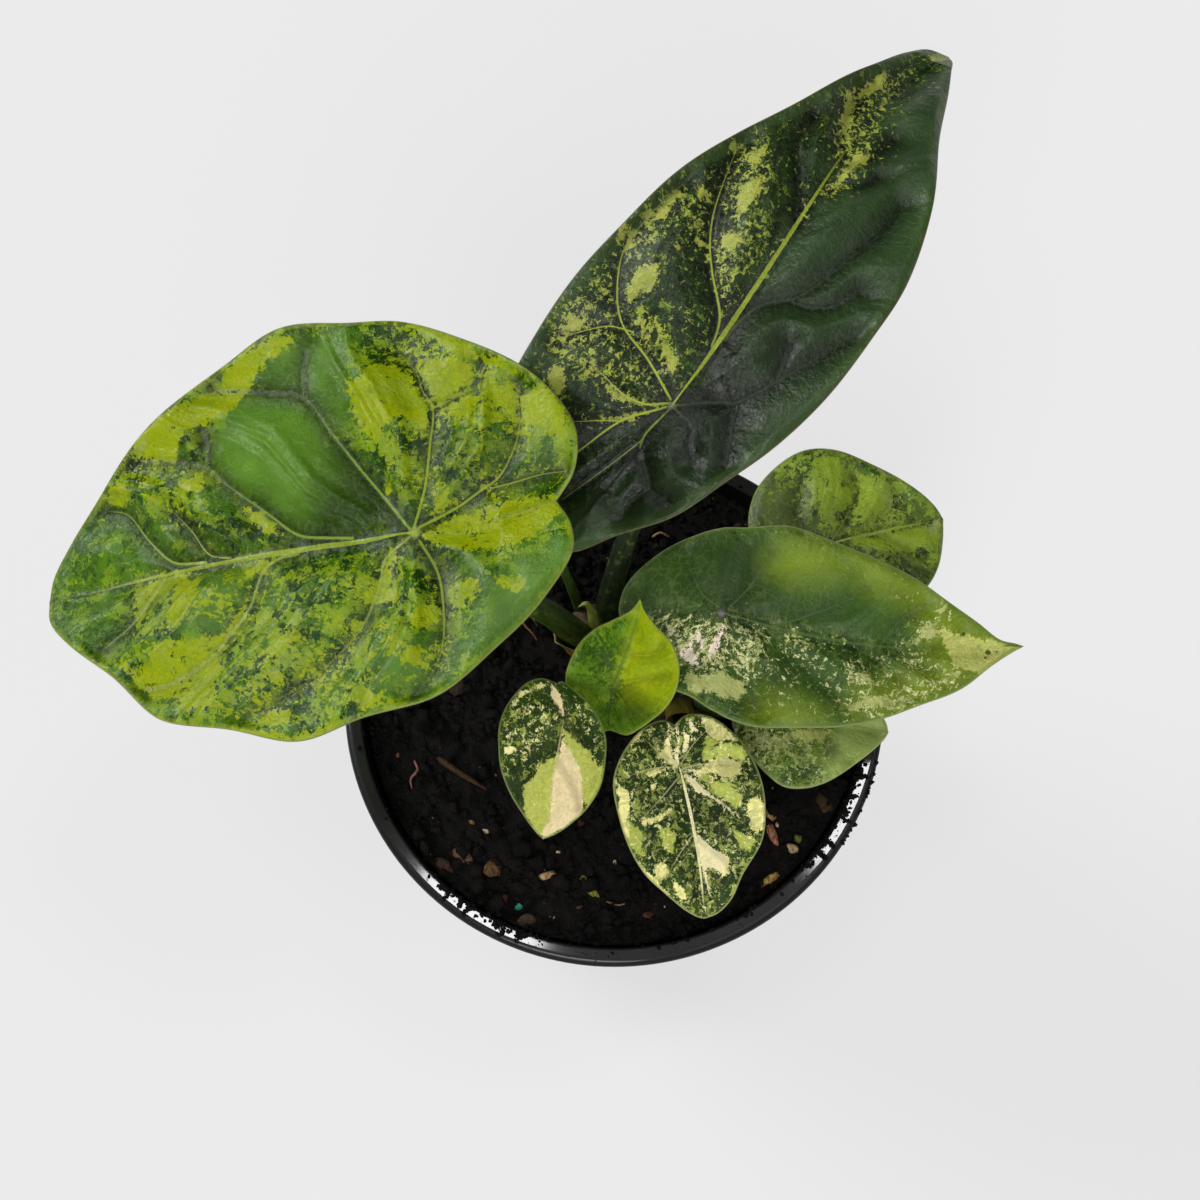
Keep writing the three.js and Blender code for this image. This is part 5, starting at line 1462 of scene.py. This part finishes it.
def stalk_line(leaf, count=60):
    """A stalk's centre line, from the top of its stem to just under the blade's junction."""
    stalk = leaf["stalk"]
    start = np.array([*stalk["base"], STEM_TOP])
    up = leaf_axes(leaf)[2]
    end = np.array(leaf["junction"]) - up * HALF_THICK
    return even(bezier(start, start + stalk["lift"], end - up * stalk["reach"], end, 200), count)


def carried_frames(line):
    """Two directions square to a line at each of its points, carried along it without twist."""
    along = np.gradient(line, axis=0)
    along /= np.linalg.norm(along, axis=1)[:, None]
    side = np.cross(along[0], (0, 1, 0.1))
    sides = []
    for direction in along:
        side = side - direction * (side @ direction)
        side /= np.linalg.norm(side)
        sides.append(side)
    sides = np.array(sides)
    return sides, np.cross(along, sides)


def ring_faces(rings, sides):
    """Four-cornered faces between neighbouring rings of points."""
    faces = []
    for k in range(rings - 1):
        for j in range(sides):
            after = (j + 1) % sides
            faces.append((k * sides + j, k * sides + after, (k + 1) * sides + after, (k + 1) * sides + j))
    return faces


def capped_faces(rings, sides):
    """Faces of stacked rings, with one flat face at either end."""
    last = (rings - 1) * sides
    return [*ring_faces(rings, sides), tuple(range(sides))[::-1], tuple(last + j for j in range(sides))]


def round_section(angle):
    return 1


def tube(line, radii, sides, section=round_section):
    """Points, faces and field of a closed tube whose section gives a share of the radius at an angle.
    The field is distance along, angle and share along."""
    first, second = carried_frames(line)
    angles = np.linspace(0, 2 * math.pi, sides, endpoint=False)
    length = run_along(line)
    points, field = [], []
    for k, centre in enumerate(line):
        for angle in angles:
            r = radii[k] * section(angle)
            points.append(centre + r * (math.cos(angle) * first[k] + math.sin(angle) * second[k]))
            field.append((length[k], angle, k / (len(line) - 1)))
    faces = ring_faces(len(line), sides)
    points += [line[0], line[-1]]
    field += [(0, 0, 0), (length[-1], 0, 1)]
    last = (len(line) - 1) * sides
    faces += [(len(points) - 2, (j + 1) % sides, j) for j in range(sides)]
    faces += [(len(points) - 1, last + j, last + (j + 1) % sides) for j in range(sides)]
    return np.array(points), faces, np.array(field)


def ribbed_section(angle):
    """A stalk's faint lengthwise ribs."""
    return 1 + 0.03 * math.cos(7 * angle) + 0.02 * math.cos(3 * angle + 1)


def stalk(name):
    leaf = LEAVES[name]
    line = stalk_line(leaf)
    foot, top = leaf["stalk"]["radii"]
    radii = foot + (top - foot) * np.sqrt(np.linspace(0, 1, len(line)))
    points, faces, field = tube(line, radii, 28, ribbed_section)
    piece = mesh_piece("petiole_" + name, points, faces, {"rod": field})
    dress(piece, stalk_material(name), "leaf_stalk", "stalk_" + name)


def stalk_material(name):
    """Green stalk skin with lengthwise streaks, paler towards the blade."""
    m = Shader("petiole_skin_" + name)
    run, angle, share = m.parts("rod")
    foot = linear(STALK_FOOT.get(name, PLAIN_FOOT))
    around = m.math("COSINE", angle), m.math("SINE", angle)
    streaks = m.noise(m.join(*around, m.times(run, 0.05)), 3.2, 4, 0.6)
    blotch = m.noise(m.join(*around, m.times(run, 0.3)), 1.6, 3)
    colour = m.mix(m.ramp(streaks, 0.35, 0.65), m.shade(foot, 0.65), m.shade(foot, 1.5))
    colour = m.mix(m.ramp(share, 0.45, 1), colour, linear(STALK_TOP))
    colour = m.mix(m.times(m.ramp(blotch, 0.56, 0.64), 0.35), colour, linear(STALK_BLOTCH))
    m.bump(m.times(streaks, 0.25))
    return m.finish(colour, m.ramp(blotch, 0.3, 0.7, 0.38, 0.55))


def sheath(name, wraps, height, slant, facing, spread, colours, spike):
    """A thin papery sleeve about a stalk's foot, with a ragged top that can run up into a spike."""
    leaf = LEAVES[wraps]
    line = stalk_line(leaf, SHEATH_CUTS)
    length = run_along(line)[-1]
    radius = leaf["stalk"]["radii"][0] + 0.45
    columns, rows = 60, 16
    points, field = [], []
    for thick in (0.55, 0):
        for i in range(columns + 1):
            turn = i / columns * 2 - 1
            angle = math.radians(facing + turn * spread)
            ragged = 0.5 * solid_noise.noise(Vector((turn * 6, 3.1, 0)))
            ragged += 0.25 * solid_noise.noise(Vector((turn * 19, 1, 0)))
            tall = height - slant * turn ** 2 + ragged + spike * math.exp(-(turn / 0.22) ** 2)
            for j in range(rows + 1):
                up = j / rows
                x, y, _ = line[min(int(tall * up / length * (SHEATH_CUTS - 1)), SHEATH_CUTS - 1)]
                flare = 0.5 * up ** 3 + 0.12 * math.sin(8 * turn + 3 * up)
                reach = radius + thick * (1 - 0.6 * up) + max(flare, 0)
                out_x, out_y = polar(reach, angle)
                points.append((x + out_x, y + out_y, STEM_TOP + tall * up))
                field.append((tall * up, turn * 6, up))
    faces = sheet_faces(columns, rows)
    piece = mesh_piece(name + "_skin", points, faces, {"rod": np.array(field)})
    dress(piece, sheath_material(name, colours), "dry_sheath", name)


def sheet_faces(columns, rows):
    """Faces of two layers of points in columns and rows, closed along their border."""
    def at(i, j):
        return i * (rows + 1) + j

    block = (columns + 1) * (rows + 1)
    faces = []
    for i in range(columns):
        for j in range(rows):
            quad = (at(i, j), at(i + 1, j), at(i + 1, j + 1), at(i, j + 1))
            faces += [quad, tuple(block + v for v in quad[::-1])]
    border = ([at(i, 0) for i in range(columns)] + [at(columns, j) for j in range(rows)]
              + [at(i, rows) for i in range(columns, 0, -1)] + [at(0, j) for j in range(rows, 0, -1)])
    return faces + [(b, a, a + block, b + block) for a, b in zip(border, border[1:] + border[:1])]


def sheath_material(name, colours):
    """Dry leaf base, streaked lengthwise, with a discoloured top edge."""
    m = Shader(name + "_paper")
    run, turn, share = m.parts("rod")
    low, high, edge = [linear(colour) for colour in colours]
    streaks = m.noise(m.join(m.times(turn, 2.4), m.times(run, 0.18), 3.0), 1.0, 4, 0.62)
    colour = m.mix(m.ramp(share, 0.05, 0.6), low, high)
    colour = m.mix(m.ramp(streaks, 0.38, 0.62), m.shade(colour, 0.6), m.shade(colour, 1.25))
    colour = m.mix(m.ramp(share, 0.86, 0.97), colour, edge)
    m.bump(m.times(streaks, 0.3))
    return m.finish(colour, m.ramp(streaks, 0.3, 0.7, 0.45, 0.65))


def folded_section(angle):
    """A rolled leaf, a little flat, with the groove where its edge overlaps."""
    return 1 + 0.1 * math.cos(2 * angle) - 0.16 * math.exp(-((angle - 4) / 0.3) ** 2)


def shoot():
    """The hooked tip of a new leaf, still rolled up."""
    line = even(spline(SHOOT, 0.2), 48)
    radii = np.interp(np.linspace(0, 1, len(line)), (0, 0.3, 0.6, 0.85, 1), (1.25, 1.35, 1.15, 0.8, 0.15))
    points, faces, field = tube(line, radii, 24, folded_section)
    piece = mesh_piece("shoot_tip", points, faces, {"rod": field})
    dress(piece, shoot_material(), "new_shoot", "shoot")


def shoot_material():
    m = Shader("shoot_skin")
    run, angle, share = m.parts("rod")
    streaks = m.noise(m.join(angle, m.times(run, 0.15), 1.0), 2.4, 4, 0.6)
    colour = m.mix(m.ramp(share, 0.1, 0.75), linear((92, 104, 30)), linear((150, 158, 66)))
    colour = m.mix(m.ramp(streaks, 0.4, 0.65), m.shade(colour, 0.75), m.shade(colour, 1.15))
    m.bump(m.times(streaks, 0.12))
    return m.finish(colour, m.ramp(streaks, 0.3, 0.7, 0.4, 0.55))


def stem(name):
    """A short knobbly stem with a rounded, ringed top that stands in its hole in the soil."""
    (x, y), radius = STEMS[name]
    rings = spline([(share * radius, STEM_TOP + z) for share, z in STEM_SIDE], 0.5)
    sides = 64
    points = []
    for r, z in rings:
        for j in range(sides):
            angle = 2 * math.pi * j / sides
            knob = 1 + 0.05 * solid_noise.noise(Vector((*polar(2, angle), z * 0.4)))
            out_x, out_y = polar(r * knob, angle)
            points.append((x + out_x, y + out_y, z))
    piece = mesh_piece(name + "_bark", points, capped_faces(len(rings), sides))
    dress(piece, stem_material(name), "stem_skin", name)


def stem_material(name):
    m = Shader(name + "_skin")
    flakes = m.noise(m.scale(m.position(), (1, 1, 2.2)), 0.8, 4, 0.65)
    colour = m.mix(m.ramp(flakes, 0.4, 0.6), linear((34, 26, 16)), linear((92, 72, 38)))
    m.bump(m.times(flakes, 0.6))
    return m.finish(colour, m.ramp(flakes, 0.3, 0.7, 0.55, 0.75))


# Soil

def soil_height(x, y):
    """The CAD soil's surface, with low lumps and a slope down to the wall."""
    lumps = 0.5 * math.sin(0.23 * x + 1) * math.cos(0.19 * y) + 0.35 * math.sin(0.41 * y + 0.3 * x)
    return SOIL_LEVEL + lumps - float(smoothstep(np.hypot(x, y), 45, 60))


def rim_rise(x, y):
    """Soil that is heaped a little against the pot's wall."""
    return 1.6 * float(smoothstep(np.hypot(x, y), 54, 60))


def crumble(x, y):
    """Height that fine crumbs add to the soil's surface."""
    place = Vector((x, y, 0))
    return (0.9 * solid_noise.noise(place * 0.28) + 0.55 * abs(solid_noise.noise(place * 0.75))
            + 0.35 * solid_noise.noise(place * 1.7))


def soil_top(x, y):
    return soil_height(x, y) + rim_rise(x, y) + crumble(x, y)


def inner_radius(z):
    """Radius of the pot's inner wall at a height."""
    return BASE_RADIUS - WALL + (RIM_RADIUS - LIP_WIDTH - BASE_RADIUS) * z / (POT_HEIGHT - RIM_BAND)


def soil_radius(z):
    return inner_radius(z) - GAP - 0.1


def soil():
    """The soil's body, from the pot's floor up its wall and in over its crumbly top."""
    bottom = FLOOR + GAP
    sides, steps = 220, 84
    rings = [(soil_radius(bottom) * 0.5, bottom), (soil_radius(bottom) - 1.4, bottom)]
    rings += [(soil_radius(z), z) for z in (bottom + 2, 60, SOIL_LEVEL - 4)]
    rings += [(soil_radius(SOIL_LEVEL - 2) * (1 - k / steps), None) for k in range(steps)]
    points = []
    for radius, z in rings:
        for j in range(sides):
            x, y = polar(radius, 2 * math.pi * j / sides)
            points.append((x, y, soil_top(x, y) if z is None else z))
    piece = mesh_piece("soil_bed", points, capped_faces(len(rings), sides))
    dress(piece, soil_material(), "soil", "soil")


def soil_material():
    """Damp black potting soil."""
    m = Shader("damp_soil")
    place = m.position()
    lumps = m.noise(place, 0.5, 4, 0.65)
    fine = m.noise(place, 2.4, 4, 0.7)
    fibre = m.cells(m.scale(place, (1, 0.4, 1)), 1.6)["Distance"]
    colour = m.mix(m.ramp(lumps, 0.4, 0.62), linear((10, 9, 8)), linear((20, 18, 16)))
    colour = m.mix(m.ramp(fine, 0.64, 0.74), colour, linear((42, 34, 27)))
    m.bump(m.math("ADD", m.times(fine, 0.7), m.times(fibre, 0.3)))
    return m.finish(colour, m.ramp(fine, 0.3, 0.7, 0.55, 0.85), specular=0.12)


def lump_shape(subdivisions):
    """A round lump's points and triangles."""
    shape = bmesh.new()
    bmesh.ops.create_icosphere(shape, subdivisions=subdivisions, radius=1)
    points = np.array([v.co for v in shape.verts])
    faces = np.array([[v.index for v in f.verts] for f in shape.faces])
    shape.free()
    return points, faces


def dented(rng, base, depth):
    """A lump with every point moved in or out by chance."""
    return base * (1 + rng.uniform(-depth, depth, (len(base), 1)))


def scatter(rng, count, subdivisions, sizes, spread, sink):
    """Irregular lumps lying on the soil, as points and faces."""
    base, triangles = lump_shape(subdivisions)
    points, faces = [], []
    while len(points) < count:
        radius, angle = 60 * math.sqrt(rng.uniform(0, 1)), rng.uniform(0, 2 * math.pi)
        x, y = polar(radius, angle)
        if any(math.hypot(x - cx, y - cy) < r - 1 for (cx, cy), r in STEMS.values()):
            continue
        size = sizes[0] + (sizes[1] - sizes[0]) * rng.uniform(0, 1) ** spread
        if radius + size > CLEAR_RADIUS:
            continue
        shape = dented(rng, base, 0.28) * size
        shape = shape * np.array([rng.uniform(0.7, 1.3), rng.uniform(0.6, 1.1), rng.uniform(0.5, 0.9)])
        turn = np.array(Matrix.Rotation(rng.uniform(0, 6.28), 3, Vector(rng.normal(size=3)).normalized()))
        points.append(shape @ turn.T + (x, y, soil_top(x, y) + size * (0.35 - sink)))
        faces.append(triangles + (len(points) - 1) * len(base))
    return np.vstack(points), np.vstack(faces)


def crumbs():
    rng = np.random.default_rng(7)
    small = scatter(rng, 3200, 1, (0.35, 1.0), 1.5, 0.1)
    large = scatter(rng, 650, 2, (0.9, 2.3), 2.2, 0.2)
    for name, (points, faces) in {"soil_grains": small, "soil_crumbs": large}.items():
        dress(mesh_piece(name, points, faces), bpy.data.materials["damp_soil"], "soil")


def flakes(rng):
    """Tiny pale and brown flakes all over the soil, in the form of the chips."""
    found = []
    for _ in range(150):
        radius, angle = 59 * math.sqrt(rng.uniform(0.02, 1)), rng.uniform(0, 2 * math.pi)
        long = 0.35 + 1.5 * rng.uniform(0, 1) ** 3
        found.append((polar(radius, angle), (long, long * 0.6, long * 0.4), rng.uniform(0, 180),
                      FLAKE_COLOURS[rng.integers(len(FLAKE_COLOURS))]))
    return found


def bits():
    """Bark chips, twigs and root ends on the soil, and a dusting of tiny flakes."""
    rng = np.random.default_rng(23)
    base, triangles = lump_shape(2)
    points, faces, tints = [], [], []
    count = 0
    for (x, y), size, heading, colour in CHIPS + flakes(rng):
        shape = dented(rng, base, 0.22) * (np.array(size) / 2)
        turn = np.array(Matrix.Rotation(math.radians(heading), 3, "Z")
                        @ Matrix.Rotation(rng.uniform(-0.35, 0.35), 3, "X"))
        points.append(shape @ turn.T + (x, y, soil_top(x, y) + size[2] * 0.22))
        faces += (triangles + count).tolist()
        tints.append(np.tile(linear(colour)[:3], (len(base), 1)))
        count += len(base)
    for knots, radius, colour in TWIGS:
        line = even(spline([(x, y, soil_top(x, y) + z) for x, y, z in knots], 0.2), 30)
        radii = radius * np.interp(np.linspace(0, 1, len(line)), (0, 0.1, 0.7, 1), (0.5, 1, 0.8, 0.3))
        rod, sides, _ = tube(line, radii, 8)
        points.append(rod)
        faces += [[v + count for v in face] for face in sides]
        tints.append(np.tile(linear(colour)[:3], (len(rod), 1)))
        count += len(rod)
    piece = mesh_piece("soil_bits", np.vstack(points), faces, {"tint": np.vstack(tints)})
    dress(piece, bits_material(), "soil")


def bits_material():
    """Bark and roots, each in its own colour, with dark grain."""
    m = Shader("bark_and_roots")
    grain = m.noise(m.scale(m.position(), (1, 0.5, 1)), 1.8, 4, 0.65)
    colour = m.vary(m.attribute("tint"), grain, 0.35, 0.65, 0.35, 1.25)
    m.bump(m.times(grain, 0.5))
    return m.finish(colour, m.ramp(grain, 0.3, 0.7, 0.55, 0.8), specular=0.2)


def lip_spots(rng):
    """Angle, radius and size of each crumb on the lip: clusters, the outer edge, bars and dust."""
    spots = []
    for centre, spread, count in LIP_CLUSTERS:
        for _ in range(count):
            spots.append((centre + rng.uniform(-spread, spread), 60.7 + 1.9 * rng.uniform(0, 1) ** 1.8,
                          rng.uniform(0.3, 0.8)))
    spots += [(rng.uniform(-34, -13), rng.uniform(64.5, 64.9), rng.uniform(0.3, 0.8)) for _ in range(34)]
    for centre, spread in LIP_BARS:
        for radius in np.arange(61, 64, 0.28):
            for _ in range(3):
                spots.append((centre + rng.uniform(-spread, spread), radius, rng.uniform(0.25, 0.5)))
    spots += [(rng.uniform(-180, 180), rng.uniform(61.5, 64.2), rng.uniform(0.12, 0.3)) for _ in range(160)]
    return spots


def rim_crumbs():
    """Soil crumbs that cling to the lip, thickest at the front left and on the right."""
    rng = np.random.default_rng(41)
    base, triangles = lump_shape(1)
    points, faces = [], []
    for angle, radius, size in lip_spots(rng):
        height = np.interp(radius, *zip(*LIP_TOP))
        shape = dented(rng, base, 0.35) * size * rng.uniform(0.6, 1.2, 3)
        points.append(shape + (*polar(radius, math.radians(angle)), height + size * 0.2))
        faces.append(triangles + (len(points) - 1) * len(base))
    piece = mesh_piece("lip_crumbs", np.vstack(points), np.vstack(faces))
    dress(piece, bpy.data.materials["damp_soil"], "soil")


# Pot

def pot():
    """The pot's turned shell with a rounded lip, and its drain holes cut through the floor."""
    band = POT_HEIGHT - RIM_BAND
    corners = [(0, 0), (BASE_RADIUS - 1, 0), (BASE_RADIUS, 1.2), (inner_radius(band) + WALL, band),
               (RIM_RADIUS - 1.8, band + 0.5)]
    corners += [(RIM_RADIUS - inset, POT_HEIGHT - drop) for inset, drop in LIP_PROFILE]
    corners += [(inner_radius(POT_HEIGHT - 3), POT_HEIGHT - 3), (inner_radius(FLOOR + 0.8), FLOOR + 0.8),
                (inner_radius(FLOOR) - 1, FLOOR), (0, FLOOR)]
    shape = bmesh.new()
    line = [shape.verts.new((r * MM, 0, z * MM)) for r, z in corners]
    edges = [shape.edges.new(pair) for pair in zip(line, line[1:])]
    bmesh.ops.spin(shape, geom=line + edges, cent=(0, 0, 0), axis=(0, 0, 1), angle=2 * math.pi, steps=180)
    bmesh.ops.remove_doubles(shape, verts=shape.verts, dist=1e-6)
    bmesh.ops.recalc_face_normals(shape, faces=shape.faces)
    piece = stand("pot_shell", settled("pot_shell", shape))
    drill_holes(piece)
    piece.data.shade_smooth()
    edge_split = piece.modifiers.new("creases", "EDGE_SPLIT")
    edge_split.split_angle = math.radians(50)
    dress(piece, pot_material(), "pot_plastic", "pot")


def settled(name, shape):
    """The mesh of a shape that was made by hand."""
    mesh = bpy.data.meshes.new(name)
    shape.to_mesh(mesh)
    shape.free()
    return mesh


def drill_holes(piece):
    """Cuts a ring of round holes through the pot's floor."""
    shape = bmesh.new()
    for i in range(DRAIN_HOLES):
        x, y = polar(DRAIN_RING * MM, 2 * math.pi * (i + 0.5) / DRAIN_HOLES)
        place = Matrix.Translation((x, y, FLOOR / 2 * MM))
        bmesh.ops.create_cone(shape, cap_ends=True, segments=40, radius1=DRAIN_RADIUS * MM,
                              radius2=DRAIN_RADIUS * MM, depth=6 * MM, matrix=place)
    tool = stand("drills", settled("drills", shape))
    cut = piece.modifiers.new("holes", "BOOLEAN")
    cut.object = tool
    cut.operation = "DIFFERENCE"
    cut.solver = "EXACT"
    graph = bpy.context.evaluated_depsgraph_get()
    piece.data = bpy.data.meshes.new_from_object(piece.evaluated_get(graph))
    piece.modifiers.clear()
    bpy.data.objects.remove(tool)


def pot_material():
    """Black moulded plastic with faint flow marks and dust, and a polished top to its lip."""
    m = Shader("moulded_black")
    place = m.position()
    marks = m.noise(m.scale(place, (0.03, 0.03, 0.4)), 1.0, 4, 0.6)
    dust = m.noise(place, 0.9, 4, 0.7)
    colour = m.mix(m.ramp(dust, 0.55, 0.75), linear((14, 14, 15)), linear((34, 32, 30)))
    x, y, z = m.split(place)
    polished = m.ramp(m.length(m.join(x, y)), RIM_RADIUS - 0.7, RIM_RADIUS - 1.5)
    polished = m.times(polished, m.ramp(z, POT_HEIGHT - 1.5, POT_HEIGHT - 0.8))
    m.put(m.surface.inputs["Coat Weight"], m.times(polished, m.ramp(dust, 0.66, 0.6)))
    m.bump(m.times(m.noise(place, 1.4, 3, 0.6), 0.006))
    return m.finish(colour, m.ramp(marks, 0.3, 0.7, 0.4, 0.55), specular=0.2, coat_roughness=0.07)


# Studio

def stage():
    """A pale floor, partly lit from below, so that shadows on it stay faint."""
    bpy.ops.mesh.primitive_plane_add(size=6, location=(0, 0, 0))
    floor = bpy.context.object
    floor.name = "studio_floor"
    m = Shader("pale_floor")
    cloud = m.noise(m.position(), 0.004, 2, 0.5)
    colour = m.mix(cloud, linear((109, 108, 109)), linear((111, 111, 111)))
    m.surface.inputs["Emission Color"].default_value = (1, 1, 1, 1)
    m.surface.inputs["Emission Strength"].default_value = FLOOR_GLOW
    floor.data.materials.append(m.finish(colour, 0.9, 0.1))


def broad_light(name, azimuth, elevation, spread, strength):
    """Light from far away in a direction, with how wide it looks, all in degrees."""
    lamp = bpy.data.lights.new(name, "SUN")
    lamp.angle = math.radians(spread)
    lamp.energy = strength
    towards = Vector((*polar(math.cos(math.radians(elevation)), math.radians(azimuth)),
                      math.sin(math.radians(elevation))))
    holder = stand(name, lamp)
    holder.location = towards
    holder.rotation_euler = towards.to_track_quat("Z", "Y").to_euler()


def studio():
    world = bpy.data.worlds.new("soft_room")
    world.use_nodes = True
    background = world.node_tree.nodes["Background"]
    background.inputs["Color"].default_value = (1, 1, 1, 1)
    background.inputs["Strength"].default_value = SKY_STRENGTH
    bpy.context.scene.world = world
    for light in LIGHTS:
        broad_light(*light)
    bpy.context.scene.view_settings.view_transform = "Standard"


def camera():
    """The photo's view, from nearly straight above."""
    lens = bpy.data.cameras.new("photo_view")
    lens.lens = VIEW_LENS
    lens.sensor_width = VIEW_SENSOR
    holder = stand("photo_view", lens)
    holder.location = VIEW_PLACE
    holder.rotation_euler = (math.radians(VIEW_TILT), 0, 0)
    bpy.context.scene.camera = holder


camera()
studio()
stage()
for leaf_name in LEAVES:
    blade(leaf_name)
    stalk(leaf_name)
for stem_name in STEMS:
    stem(stem_name)
for sheath_name, form in SHEATHS.items():
    sheath(sheath_name, **form)
shoot()
soil()
crumbs()
bits()
rim_crumbs()
pot()
